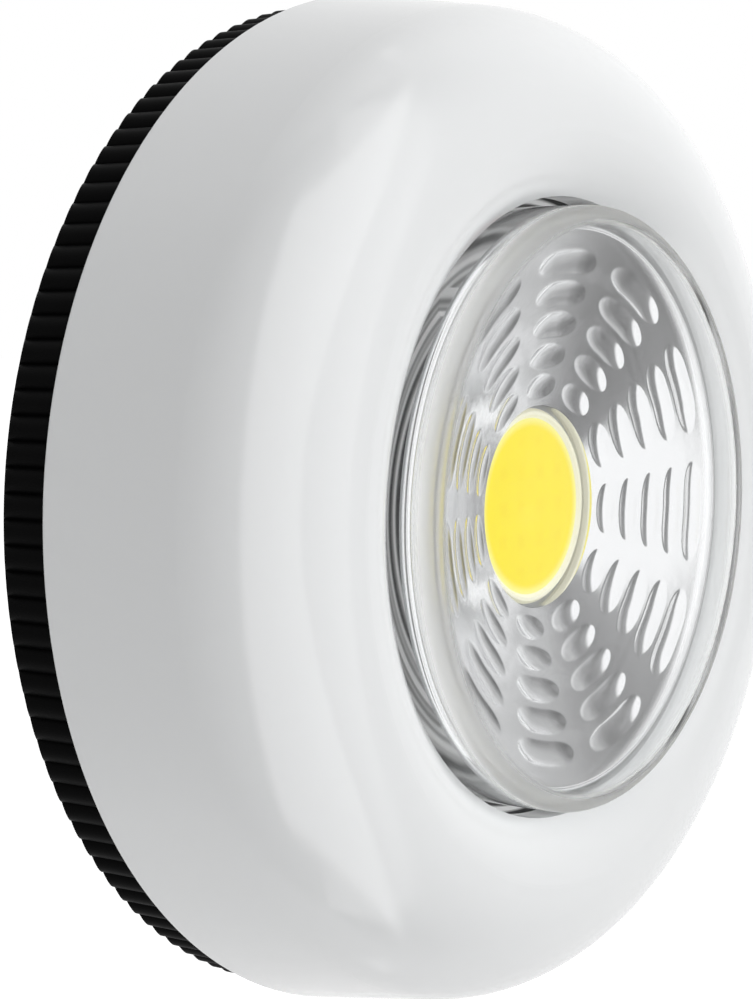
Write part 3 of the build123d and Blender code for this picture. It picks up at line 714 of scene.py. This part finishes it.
@dataclass(frozen=True)
class BandedResistor(Finish):
    """A resistor's painted body with colour rings, between tinned leads."""

    lead_colour: Colour = (0.72, 0.72, 0.72)
    rings: tuple[tuple[float, float, Colour], ...] = (
        (0.2, 0.3, (0.35, 0.12, 0.02)),
        (0.42, 0.52, (0.02, 0.02, 0.02)),
        (0.64, 0.74, (0.3, 0.1, 0.02)),
        (0.84, 0.92, (0.6, 0.42, 0.1)),
    )
    middle_z: float = -21.5 * MM
    half_length: float = 1.6 * MM
    roughness: float = 0.3
    sheen_cell: float = 0.5 * MM
    sheen: float = 0.1

    def shader(self, graph: Graph) -> Signal:
        """Four rings along the body, by the place along it.

        Args:
            graph: The material's graph.

        Returns:
            The shader.
        """
        _, _, upward = graph.parts(graph.place())
        along = (upward - self.middle_z) / self.half_length
        stops = [(0.0, self.colour)]
        for start, end, ring in self.rings:
            stops += [(start, ring), (end, self.colour)]
        paint = graph.node("ShaderNodeValToRGB", {"stops": stops}, {0: along * 0.5 + 0.5})
        paint.socket.node.color_ramp.interpolation = "CONSTANT"
        lead = along.size() > 1.0
        return graph.surface(
            Base_Color=graph.blend(lead, paint, self.lead_colour),
            Metallic=lead,
            Roughness=graph.grain(self.sheen_cell) * self.sheen + self.roughness,
        )


@dataclass(frozen=True)
class SolderMask(Finish):
    """A circuit board's green mask over copper tracks that show as a slightly lighter relief."""

    track: float = 1.27 * MM
    track_start: float = 0.2
    track_end: float = 0.26
    track_height: float = 0.03 * MM
    track_light: float = 1.7
    roughness: float = 0.25
    sheen_cell: float = 1.5 * MM
    sheen: float = 0.1

    def shader(self, graph: Graph) -> Signal:
        """Tracks along two ways.

        Args:
            graph: The material's graph.

        Returns:
            The shader.
        """
        across, _, upward = graph.parts(graph.place())
        columns, rows = (
            (axis / self.track).from_middle().eased(self.track_start, self.track_end)
            for axis in (across, upward)
        )
        between = columns * rows
        return graph.surface(
            Base_Color=graph.blend(between, self.shaded(self.track_light), self.colour),
            Roughness=graph.grain(self.sheen_cell) * self.sheen + self.roughness,
            Normal=graph.relief(1 - between, self.track_height),
        )


@dataclass(frozen=True)
class Palette:
    """All finishes of the light, one for each slot of the record."""

    housing: Finish = Plastic(
        "housing_white",
        (0.83, 0.84, 0.845),
        roughness=0.13,
        texture_cell=0.5 * MM,
        texture_depth=0.0006 * MM,
        tint_change=0.012,
        smudge_cell=14 * MM,
        smudge=0.03,
    )
    base: Finish = Plastic(
        "base_black",
        (0.0012, 0.0012, 0.0013),
        roughness=0.5,
        texture_cell=0.12 * MM,
        texture_depth=0.008 * MM,
        tint_change=0.2,
        smudge_cell=5 * MM,
        smudge=0.08,
        shine=0.03,
    )
    inner: Finish = Plastic("inner_white", (0.8, 0.8, 0.78), 0.38, 0.2 * MM, 0.004 * MM)
    # The carrier's dark rings are painted shade, and its glow is painted light.
    carrier: Finish = RingShadedPlastic("carrier_white", (0.86, 0.86, 0.86), 0.38, glow=0.3)
    lens: Finish = ClearPlastic("lens_clear", (0.985, 0.99, 0.99))
    mirror: Finish = MirrorFilm("reflector_chrome", (0.9, 0.9, 0.91))
    board: Finish = Metal("board_aluminium", (0.82, 0.83, 0.84), 0.35)
    # The dam's glow is painted light that brightens it where it sits in shade.
    dam: Finish = Plastic("dam_white", (0.9, 0.88, 0.7), 0.35, 0.3 * MM, 0.01 * MM, glow=0.3)
    # The phosphor's glow is painted light.
    phosphor: Finish = PhosphorGel("phosphor_yellow", (0.94, 0.78, 0.03))
    switch: Finish = Plastic("switch_black", (0.02, 0.02, 0.02), 0.45)
    plunger: Finish = Plastic("plunger_white", (0.82, 0.82, 0.8), 0.4)
    green: Finish = SolderMask("board_green", (0.02, 0.13, 0.05))
    tinned: Finish = Metal("tinned_steel", (0.72, 0.72, 0.71), 0.28, (1.0, 1.0, 12.0))
    spring: Finish = Metal("spring_steel", (0.6, 0.6, 0.6), 0.26, (3.0, 3.0, 3.0))
    screw: Finish = Metal("screw_steel", (0.56, 0.56, 0.57), 0.32)
    solder: Finish = Metal("solder", (0.66, 0.66, 0.68), 0.2, mark_depth=0.01 * MM)
    foam: Finish = Foam("pad_foam", (0.16, 0.16, 0.17))
    liner: Finish = Plastic("pad_liner", (0.78, 0.76, 0.7), 0.5, 0.6 * MM, 0.01 * MM, tint_change=0.06)
    resistor: Finish = BandedResistor("resistor_body", (0.55, 0.42, 0.28))
    jacket: Finish = CellJacket("cell_jacket", (0.012, 0.02, 0.045))
    red: Finish = Plastic("lead_red", (0.55, 0.012, 0.012), 0.35, 0.3 * MM, 0.006 * MM)
    black: Finish = Plastic("lead_black", (0.018, 0.018, 0.019), 0.38, 0.3 * MM, 0.006 * MM)


# Meshes


def at(radius: float, depth: float, angle: float) -> Vector:
    """A point by its distance from the axis, its depth and its angle seen from the front.

    Args:
        radius: The distance from the light's axis.
        depth: The distance from the wall.
        angle: The angle from +X towards +Z, in radians.

    Returns:
        The point in the row frame.
    """
    return Vector((radius * math.cos(angle), -depth, radius * math.sin(angle)))


def piece(
    name: str,
    points: Sequence[Vector],
    faces: Sequence[Sequence[int]],
    shading: Shading = Shading.BY_ANGLE,
    sharp: float = 35.0,
) -> bpy.types.Object:
    """Makes a mesh object.

    Args:
        name: The piece's name.
        points: Its points in the row frame.
        faces: Its faces, as numbers of points.
        shading: How its faces are shaded.
        sharp: The angle from which an edge is sharp, in degrees, for shading by angle.

    Returns:
        The object.
    """
    mesh = bpy.data.meshes.new(name)
    mesh.from_pydata([tuple(point) for point in points], [], faces)
    mesh.validate()
    mesh.update()
    if shading is not Shading.FLAT:
        mesh.polygons.foreach_set("use_smooth", [True] * len(mesh.polygons))
    if shading is Shading.BY_ANGLE:
        mesh.set_sharp_from_angle(angle=math.radians(sharp))
    made = bpy.data.objects.new(name, mesh)
    bpy.context.scene.collection.objects.link(made)
    return made


def arc(centre: Point, radius: float, start: float, end: float, steps: int) -> list[Point]:
    """Points along an arc of a profile.

    Args:
        centre: The arc's centre, as a distance from the axis and a depth.
        radius: The arc's radius.
        start: The first angle, in degrees.
        end: The last angle, in degrees.
        steps: The number of steps.

    Returns:
        The points.
    """
    points = []
    for step in range(steps + 1):
        angle = math.radians(start + (end - start) * step / steps)
        points.append((centre[0] + radius * math.cos(angle), centre[1] + radius * math.sin(angle)))
    return points


def walls(rings: Sequence[Sequence[int]], flipped: bool = False) -> list[list[int]]:
    """Faces between rings of points that follow each other.

    Args:
        rings: The rings, as numbers of points. A ring of one number repeated is a tip.
        flipped: True for faces that look the other way.

    Returns:
        The faces.
    """
    faces = []
    for low, high in pairwise(rings):
        for step in range(len(low)):
            after = (step + 1) % len(low)
            corners = list(dict.fromkeys((low[step], low[after], high[after], high[step])))
            if len(corners) > 2:
                faces.append(corners[:1] + corners[:0:-1] if flipped else corners)
    return faces


def turned(name: str, profile: Sequence[Point], count: int) -> bpy.types.Object:
    """Turns a closed profile about the light's axis.

    Args:
        name: The piece's name.
        profile: Distances from the axis and depths, against the clock with the radius to the right.
        count: The number of steps round the axis.

    Returns:
        The object.
    """
    points: list[Vector] = []
    rings: list[list[int]] = []
    for radius, depth in profile:
        if radius == 0.0:
            rings.append([len(points)] * count)
            points.append(at(0.0, depth, 0.0))
            continue
        rings.append(list(range(len(points), len(points) + count)))
        points += [at(radius, depth, FULL_TURN * step / count) for step in range(count)]
    return piece(name, points, walls([*rings, rings[0]]))


def tube(name: str, route: Sequence[Vector], radius: float, sides: int) -> bpy.types.Object:
    """A closed round tube along a route of points.

    Args:
        name: The piece's name.
        route: Points along its middle line.
        radius: The tube's radius.
        sides: The number of sides.

    Returns:
        The object.
    """
    points: list[Vector] = []
    side = None
    for index, here in enumerate(route):
        ahead = (route[min(index + 1, len(route) - 1)] - route[max(index - 1, 0)]).normalized()
        if side is None:
            side = ahead.orthogonal().normalized()
        side = (side - ahead * side.dot(ahead)).normalized()
        across = ahead.cross(side)
        for step in range(sides):
            angle = FULL_TURN * step / sides
            points.append(here + side * (radius * math.cos(angle)) + across * (radius * math.sin(angle)))
    rings = [range(start, start + sides) for start in range(0, len(points), sides)]
    faces = [*walls(rings), list(reversed(rings[0])), list(rings[-1])]
    return piece(name, points, faces, sharp=50.0)


def merged(name: str, parts: Sequence[bpy.types.Object]) -> bpy.types.Object:
    """Joins meshes into one object, each with its own faces.

    Args:
        name: The piece's name.
        parts: The objects to join, which are removed.

    Returns:
        The object.
    """
    points: list[Vector] = []
    faces: list[list[int]] = []
    for part in parts:
        start = len(points)
        points += [vertex.co.copy() for vertex in part.data.vertices]
        faces += [[start + corner for corner in face.vertices] for face in part.data.polygons]
        bpy.data.objects.remove(part)
    return piece(name, points, faces, sharp=40.0)


def joint_range(name: str) -> float:
    """How far a sliding joint travels, in metres.

    Args:
        name: The joint's name.

    Returns:
        The distance between its limits.
    """
    found = next(joint for joint in frame["joints"] if joint["name"] == name)
    start, end = found["range_m"]
    return end - start


def dress(material: bpy.types.Material, *nodes: str) -> None:
    """Gives nodes of the frame their finish.

    Args:
        material: The material.
        *nodes: The nodes' names.
    """
    for node in nodes:
        mesh = frame["nodes"][node].data
        for place in range(len(mesh.materials)):
            mesh.materials[place] = material
        log.info("dressed %s with %s", node, material.name)


def fit(
    made: bpy.types.Object,
    material: bpy.types.Material,
    body: Body | None = None,
    replaced: Sequence[str] = (),
) -> None:
    """Gives a new piece its finish, its body and the nodes that it stands for.

    Args:
        made: The piece.
        material: Its material.
        body: The body that it rides on, or None for no body.
        replaced: The nodes that it stands for.
    """
    made.data.materials.clear()
    made.data.materials.append(material)
    if body is not None:
        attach(made, body.value)
    if replaced:
        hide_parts(*replaced)
    log.info("made %s with %d faces", made.name, len(made.data.polygons))


# Sub-assemblies


@dataclass
class StuckBase:
    """The ribbed base and its foam pad, which stay on the wall."""

    finishes: Palette
    liner: float = 0.08 * MM
    edge_round: float = 0.18 * MM
    edge_steps: int = 5
    segments: int = 180

    def build(self) -> None:
        """Dresses the base and builds the pad."""
        dress(self.finishes.base.make(), "base_cover")
        self.build_pad()

    def build_pad(self) -> None:
        """The foam pad with its rounded edge, and the paper liner on its sticky face."""
        low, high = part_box("adhesive_pad")
        radius, front = high.x, -low.y
        edge = self.edge_round
        profile = [
            (0.0, self.liner),
            *arc((radius - edge, self.liner + edge), edge, -90, 0, self.edge_steps),
            *arc((radius - edge, front - edge), edge, 0, 90, self.edge_steps),
            (0.0, front),
        ]
        foam = turned("foam_pad", profile, self.segments)
        fit(foam, self.finishes.foam.make(), Body.BASE, ["adhesive_pad"])
        profile = [(0.0, 0.0), (radius, 0.0), (radius, self.liner), (0.0, self.liner)]
        paper = turned("pad_liner", profile, self.segments)
        fit(paper, self.finishes.liner.make(), Body.BASE)


@dataclass
class TwistHousing:
    """The white housing that twists off the base, with the tray screwed into it."""

    finishes: Palette

    def build(self) -> None:
        """Dresses the shell, the tray and its screws."""
        dress(self.finishes.housing.make(), "housing_shell")
        dress(self.finishes.inner.make(), "battery_tray")
        dress(self.finishes.screw.make(), "tray_screws")


@dataclass
class BatteryBay:
    """Three cells with their plates and springs."""

    finishes: Palette
    cells: tuple[tuple[str, float], ...] = (
        ("battery_top", 1.0),
        ("battery_middle", -1.0),
        ("battery_bottom", 1.0),
    )

    def build(self) -> None:
        """Dresses the cells and the contacts."""
        for node, side in self.cells:
            low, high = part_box(node)
            tip = high.x if side > 0 else -low.x
            name = f"cell_jacket_{'right' if side > 0 else 'left'}"
            length = high.x - low.x
            sleeve = replace(self.finishes.jacket, name=name, positive_side=side, tip=tip, length=length)
            dress(bpy.data.materials.get(name) or sleeve.make(), node)
        dress(self.finishes.tinned.make(), "positive_plate", "negative_plate", "link_plates")
        dress(self.finishes.spring.make(), "contact_springs")


@dataclass
class PushSwitch:
    """The latching switch on its small board, with the resistor and the solder joints."""

    finishes: Palette
    joint_radius: float = 0.75 * MM
    joint_height: float = 0.55 * MM
    joint_sides: int = 14
    joint_rings: int = 5
    joint_narrowing: float = 0.72
    joint_flare: float = 0.55
    spread: float = 2.5 * MM
    spacing: float = 2.2 * MM

    def build(self) -> None:
        """Dresses the switch and builds the solder joints on its board."""
        dress(self.finishes.switch.make(), "switch_body")
        dress(self.finishes.plunger.make(), "switch_plunger")
        dress(self.finishes.green.make(), "switch_board")
        dress(self.finishes.tinned.make(), "switch_pins")
        dress(self.finishes.screw.make(), "board_screw")
        low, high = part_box("resistor")
        dress(replace(self.finishes.resistor, middle_z=(low.z + high.z) / 2).make(), "resistor")
        self.build_joints()

    def joint(self, across: float, upward: float, depth: float) -> bpy.types.Object:
        """One cone-shaped solder joint that stands towards the wall.

        Args:
            across: Its place along X.
            upward: Its place along Z.
            depth: The depth of the board's rear face.

        Returns:
            The joint.
        """
        sides = self.joint_sides
        place = Vector((across, 0, upward))
        points = [place + at(0.0, depth, 0.0)]
        rings = [[0] * sides]
        for ring in range(self.joint_rings + 1):
            share = ring / self.joint_rings
            radius = self.joint_radius * (1 - self.joint_narrowing * share**self.joint_flare)
            behind = depth - self.joint_height * share
            rings.append(list(range(len(points), len(points) + sides)))
            points += [place + at(radius, behind, FULL_TURN * step / sides) for step in range(sides)]
        return piece("joint", points, [*walls(rings, flipped=True), rings[-1]], Shading.SMOOTH)

    def build_joints(self) -> None:
        """Six joints round the switch's pins."""
        low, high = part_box("switch_pins")
        _, board_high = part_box("switch_board")
        middle = (low + high) / 2
        joints = [
            self.joint(middle.x + side * self.spread, middle.z + row * self.spacing, -board_high.y)
            for side in (-1, 1)
            for row in (-1, 0, 1)
        ]
        fit(merged("switch_solder", joints), self.finishes.solder.make(), Body.HOUSING)


@dataclass
class ReturnSprings:
    """Four coils that lift the lens. They are built at full length and keep that shape."""

    finishes: Palette
    wire: float = 0.35 * MM
    coil_radius: float = 1.6 * MM
    turns: int = 6
    steps: int = 28
    wire_sides: int = 10

    def build(self) -> None:
        """Builds the coils in the places of the frame's solids."""
        low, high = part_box("return_springs")
        foot, top = -high.y + self.wire / 2, -low.y - self.wire / 2
        outer = self.coil_radius + self.wire / 2
        last = self.turns * self.steps
        coil = [
            at(self.coil_radius, foot + (top - foot) * step / last, FULL_TURN * step / self.steps)
            for step in range(last + 1)
        ]
        coils = []
        for side, level in ((-1, -1), (-1, 1), (1, -1), (1, 1)):
            middle = Vector((side * (high.x - outer), 0, level * (high.z - outer)))
            coils.append(tube("coil", [middle + place for place in coil], self.wire / 2, self.wire_sides))
        springs = merged("return_coils", coils)
        fit(springs, self.finishes.spring.make(), Body.HOUSING, ["return_springs"])
        travel = joint_range("lens_push")
        height = high.y - low.y
        (height - travel) / height
        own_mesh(springs)


@dataclass
class LampHead:
    """Everything that moves with the lens: lens, reflector, lamp and carrier."""

    finishes: Palette
    lens_wall: float = 0.97 * MM
    lens_plate: float = 1.0 * MM
    front_round: float = 1.2 * MM
    front_steps: int = 10
    inner_round: float = 0.3 * MM
    inner_steps: int = 6
    flange_width: float = 1.83 * MM
    flange_thickness: float = 1.0 * MM
    sheet: float = 0.8 * MM
    rim_side: float = 0.55 * MM
    rim_width: float = 0.45 * MM
    rim_steps: int = 10
    throat_radius: float = 6.86 * MM
    throat_wall: float = 1.0 * MM
    throat_depth: float = 1.05 * MM
    sector_count: int = 11
    row_count: int = 5
    turn_angle: float = -4.5
    dimple_angle: float = 25.0
    first_radius: float = 8.2 * MM
    row_spacing: float = 2.08 * MM
    dimple_half_width: float = 0.84 * MM
    dimple_depth: float = 0.16 * MM
    dimple_flatness: float = 2.2
    dimple_taper: float = 2.2 * MM
    lens_segments: int = 360
    mirror_segments: int = 900
    mirror_step: float = 0.085 * MM

    def build(self) -> None:
        """Builds the lens and the reflector, and dresses the lamp."""
        self.build_lens()
        self.build_reflector()
        dress(self.finishes.board.make(), "cob_board")
        dress(self.finishes.dam.make(), "cob_dam")
        dress(self.finishes.phosphor.make(), "cob_phosphor")
        dress(self.finishes.carrier.make(), "led_carrier")

    def build_lens(self) -> None:
        """The clear cup: flange, side wall and front plate with rounded edges."""
        low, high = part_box("push_lens")
        flange_radius = high.x
        outer = flange_radius - self.flange_width
        inner = outer - self.lens_wall
        front, mouth = -low.y, -high.y
        plate_back = front - self.lens_plate
        flange_front = mouth + self.flange_thickness
        large, small = self.front_round, self.inner_round
        profile = [
            (0.0, plate_back),
            (inner * 0.5, plate_back),
            *arc((inner - small, plate_back - small), small, 90, 0, self.inner_steps),
            (inner, (plate_back + mouth) / 2),
            (inner, mouth),
            (flange_radius, mouth),
            (flange_radius, flange_front),
            (outer, flange_front),
            (outer, (flange_front + front) / 2),
            *arc((outer - large, front - large), large, 0, 90, self.front_steps),
            (inner * 0.5, front),
            (0.0, front),
        ]
        lens = turned("press_lens", profile, self.lens_segments)
        fit(lens, self.finishes.lens.make(), Body.LENS, ["push_lens"])

    def sunk(self, radius: float, angle: float) -> float:
        """How far the web's dimples lower the cone at a place.

        Args:
            radius: The distance from the axis.
            angle: The angle, in radians.

        Returns:
            The depth of the dimple there.
        """
        sector = FULL_TURN / self.sector_count
        turn = angle - math.radians(self.turn_angle)
        aside = turn - round(turn / sector) * sector
        row = min(max(round((radius - self.first_radius) / self.row_spacing), 0), self.row_count - 1)
        middle = self.first_radius + row * self.row_spacing
        half_length = math.radians(self.dimple_angle) / 2 * middle
        taper = min(self.dimple_taper, half_length)
        past_end = max(abs(aside) * middle - half_length + taper, 0.0)
        share = math.hypot(past_end / taper, (radius - middle) / self.dimple_half_width)
        if share >= 1:
            return 0.0
        return self.dimple_depth * (1 - share**self.dimple_flatness)

    def build_reflector(self) -> None:
        """The bowl: throat, cone with the web's dimples, rim and rear side."""
        low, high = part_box("reflector")
        outer, rim, back = high.x, -low.y, -high.y
        throat_front = back + self.throat_depth
        rim_inner = outer - self.rim_width
        width = rim_inner - self.throat_radius
        slope = (rim - throat_front) / width
        sheet = self.sheet * math.hypot(1.0, slope)
        throat_back = throat_front + self.throat_wall * slope - sheet
        steps = round(width / self.mirror_step)
        radii = [self.throat_radius + width * step / steps for step in range(steps + 1)]
        throat_outer = self.throat_radius + self.throat_wall
        edge = arc((rim_inner, rim - self.rim_width), self.rim_width, 90, 0, self.rim_steps)
        behind = [
            *edge[1:],
            (outer, rim - self.rim_side),
            (rim_inner, rim - sheet),
            (throat_outer, throat_back),
            (throat_outer, back),
            (self.throat_radius, back),
        ]
        count = self.mirror_segments
        points: list[Vector] = []
        for radius in radii:
            level = throat_front + (radius - self.throat_radius) * slope
            for step in range(count):
                angle = FULL_TURN * step / count
                points.append(at(radius, level - self.sunk(radius, angle), angle))
        for radius, depth in behind:
            points += [at(radius, depth, FULL_TURN * step / count) for step in range(count)]
        rings = [range(start, start + count) for start in range(0, len(points), count)]
        bowl = piece("web_reflector", points, walls([*rings, rings[0]], flipped=True), sharp=40.0)
        fit(bowl, self.finishes.mirror.make(), Body.LENS, ["reflector"])


@dataclass
class Leads:
    """The three insulated leads between the lamp, the cells and the switch board."""

    finishes: Palette
    fixed_share: float = 0.25
    riding_share: float = 0.9

    def build(self) -> None:
        """Dresses the lead that stays in the housing, and remakes the two that run to the lens, which keep
        one shape.
        """
        black = self.finishes.black.make()
        dress(black, "lead_battery")
        self.build_bending("lead_lamp", "black_wire", black)
        self.build_bending("lead_red", "red_wire", self.finishes.red.make())

    def build_bending(self, node: str, name: str, material: bpy.types.Material) -> None:
        """A lead that runs from the housing to the lamp, copied from its node onto no body in one fixed
        shape.

        Args:
            node: The lead's node.
            name: The new piece's name.
            material: Its material.
        """
        mesh = frame["nodes"][node].data.copy()
        mesh.name = name
        wire = bpy.data.objects.new(name, mesh)
        bpy.context.scene.collection.objects.link(wire)
        fit(wire, material, replaced=[node])
        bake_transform(wire)


# Studio


@dataclass
class Studio:
    """Floor, light and camera."""

    floor_level: float = -0.15
    floor_half_width: float = 6.0
    floor_colour: Colour = (0.88, 0.88, 0.88)
    floor_glow: float = 0.42
    azimuth: float = -53.86
    elevation: float = 4.5
    roll: float = -0.12
    distance: float = 175.0 * MM
    target: Vector3 = (4.32 * MM, -0.5 * MM, -0.58 * MM)
    focal_pixels: float = 2388.2
    sensor: float = 36.0
    clip_start: float = 10 * MM
    panorama: tuple[Point, ...] = (
        (-180.0, 1.0), (-145.0, 1.0), (-120.0, 0.42), (-30.0, 0.42), (-10.0, 1.3),
        (32.0, 1.3), (36.0, 0.32), (47.0, 0.16), (56.0, 0.34), (65.0, 0.6),
        (73.0, 0.78), (85.0, 0.92), (100.0, 1.0), (180.0, 1.0),
    )
    room_through: tuple[Point, ...] = (
        (0.0, 1.2), (32.0, 1.2), (36.0, 0.27), (47.0, 0.16), (56.0, 0.34), (65.0, 0.62),
        (73.0, 0.94), (82.0, 1.3), (90.0, 1.5), (110.0, 1.3), (180.0, 1.0),
    )
    corner_left: float = 34.0
    corner_right: float = 62.0
    corner_low: float = 0.8
    corner_rise: float = 0.6
    corner_rise_start: float = -0.3
    corner_rise_end: float = 0.2
    corner_left_blur: float = 0.02
    corner_right_blur: float = 0.1
    panel_level: float = 2.7
    panel_left: float = -60.0
    panel_right: float = -11.0
    panel_end: float = 0.95
    panel_blur: float = 0.07
    panel_right_start: float = -0.05
    panel_right_end: float = 0.03
    panel_bow: float = 0.36
    bow_start: float = 0.08
    bow_end: float = 0.65
    ambient: float = 0.82
    towards_front: float = 0.7
    towards_right: float = 0.58

    def build(self) -> None:
        """Builds the floor, the world and the camera."""
        self.build_floor()
        self.build_world()
        self.build_camera()

    def build_floor(self) -> None:
        """A pale floor well below the light, which keeps its soft shadow."""
        reach = self.floor_half_width
        level = self.floor_level
        corners = [Vector((x * reach, y * reach, level)) for x, y in ((-1, -1), (1, -1), (1, 1), (-1, 1))]
        floor = piece("floor", corners, [[0, 1, 2, 3]], Shading.FLAT)
        material = bpy.data.materials.new("floor_pale")
        material.use_nodes = True
        graph = Graph(material.node_tree)
        strength = graph.ray("Is Camera Ray") * self.floor_glow
        matt = graph.node("ShaderNodeBsdfDiffuse", inputs={"Color": self.floor_colour})
        glow = graph.node("ShaderNodeEmission", inputs={"Color": WHITE, "Strength": strength})
        graph.finish(graph.node("ShaderNodeAddShader", inputs={0: matt, 1: glow}))
        floor.data.materials.append(material)
        floor.visible_glossy = False
        floor.visible_transmission = False

    def build_world(self) -> None:
        """Soft light from the front right, one room that gloss reflects and another seen through glass."""
        world = bpy.data.worlds.new("studio")
        bpy.context.scene.world = world
        world.use_nodes = True
        world.cycles.sampling_method = "NONE"
        graph = Graph(world.node_tree)
        across, outward, upward = graph.parts(graph.node("ShaderNodeTexCoord", output="Generated"))

        def aside(angle: float) -> Signal:
            """How far a direction lies past a vertical plane, towards larger angles seen from above.

            Args:
                angle: The plane's angle from the front towards +X, in degrees.

            Returns:
                The distance past the plane, on the unit sphere.
            """
            turn = math.radians(angle)
            return across * math.cos(turn) + outward * math.sin(turn)

        def by_azimuth(levels: Sequence[Point], azimuth: Signal) -> Signal:
            """The level of a room that changes round the vertical axis.

            Args:
                levels: Angles from the front, in degrees, each with a level.
                azimuth: The ray's angle from the front, in radians.

            Returns:
                The level in the ray's direction.
            """
            brightest = max(level for _, level in levels)
            stops = [(0.5 + angle / 360, (level / brightest,) * 3) for angle, level in levels]
            share = azimuth / FULL_TURN + 0.5
            return graph.node("ShaderNodeValToRGB", {"stops": stops}, {0: share}) * brightest

        heading = across.maths("ARCTAN2", 0.0 - outward)
        seen = graph.ray("Is Camera Ray")
        gathered = graph.ray("Is Diffuse Ray")
        through = graph.ray("Is Transmission Ray")
        rising = upward.eased(self.corner_rise_start, self.corner_rise_end)
        by_height = self.corner_low + rising * self.corner_rise
        past_left = aside(self.corner_left).eased(-self.corner_left_blur, self.corner_left_blur)
        past_right = aside(self.corner_right).eased(-self.corner_right_blur, self.corner_right_blur)
        corner = past_left * (1 - past_right)
        bow = upward.size().eased(self.bow_start, self.bow_end) * self.panel_bow
        right_edge = (aside(self.panel_right) - bow).eased(self.panel_right_start, self.panel_right_end)
        ends = upward.size().eased(self.panel_end - self.panel_blur, self.panel_end)
        left_edge = aside(self.panel_left).eased(-self.panel_blur, self.panel_blur)
        panel = left_edge * (1 - right_edge) * (1 - ends)
        gloss = by_azimuth(self.panorama, heading) * (1 - panel) + panel * self.panel_level
        inside = by_azimuth(self.room_through, heading.size()) * (1 - corner + corner * by_height)
        soft = self.ambient - outward * self.towards_front + across * self.towards_right
        mirrored = (1 - through) * gloss + through * inside
        level = seen + gathered * soft + (1 - seen) * (1 - gathered) * mirrored
        background = graph.node("ShaderNodeBackground", inputs={"Color": WHITE, "Strength": level})
        graph.finish(background, "ShaderNodeOutputWorld")

    def build_camera(self) -> None:
        """The camera at the photograph's angle and distance."""
        data = bpy.data.cameras.new("camera")
        data.sensor_width = self.sensor
        data.lens = self.focal_pixels / IMAGE_HEIGHT_PIXELS * self.sensor
        data.clip_start = self.clip_start
        camera = bpy.data.objects.new("camera", data)
        camera.matrix_world = (
            Matrix.Translation(self.target)
            @ Matrix.Rotation(math.radians(self.azimuth), 4, "Z")
            @ Matrix.Rotation(math.radians(90 - self.elevation), 4, "X")
            @ Matrix.Rotation(math.radians(self.roll), 4, "Z")
            @ Matrix.Translation((0, 0, self.distance))
        )
        bpy.context.scene.collection.objects.link(camera)
        bpy.context.scene.camera = camera


def main() -> None:
    """Builds the light and the studio."""
    logging.basicConfig(level=logging.INFO, format="%(name)s: %(message)s")
    bpy.context.scene.view_settings.view_transform = "Standard"
    finishes = Palette()
    for kind in (StuckBase, TwistHousing, BatteryBay, PushSwitch, ReturnSprings, LampHead, Leads):
        kind(finishes).build()
    Studio().build()


if __name__ == "__main__":
    main()
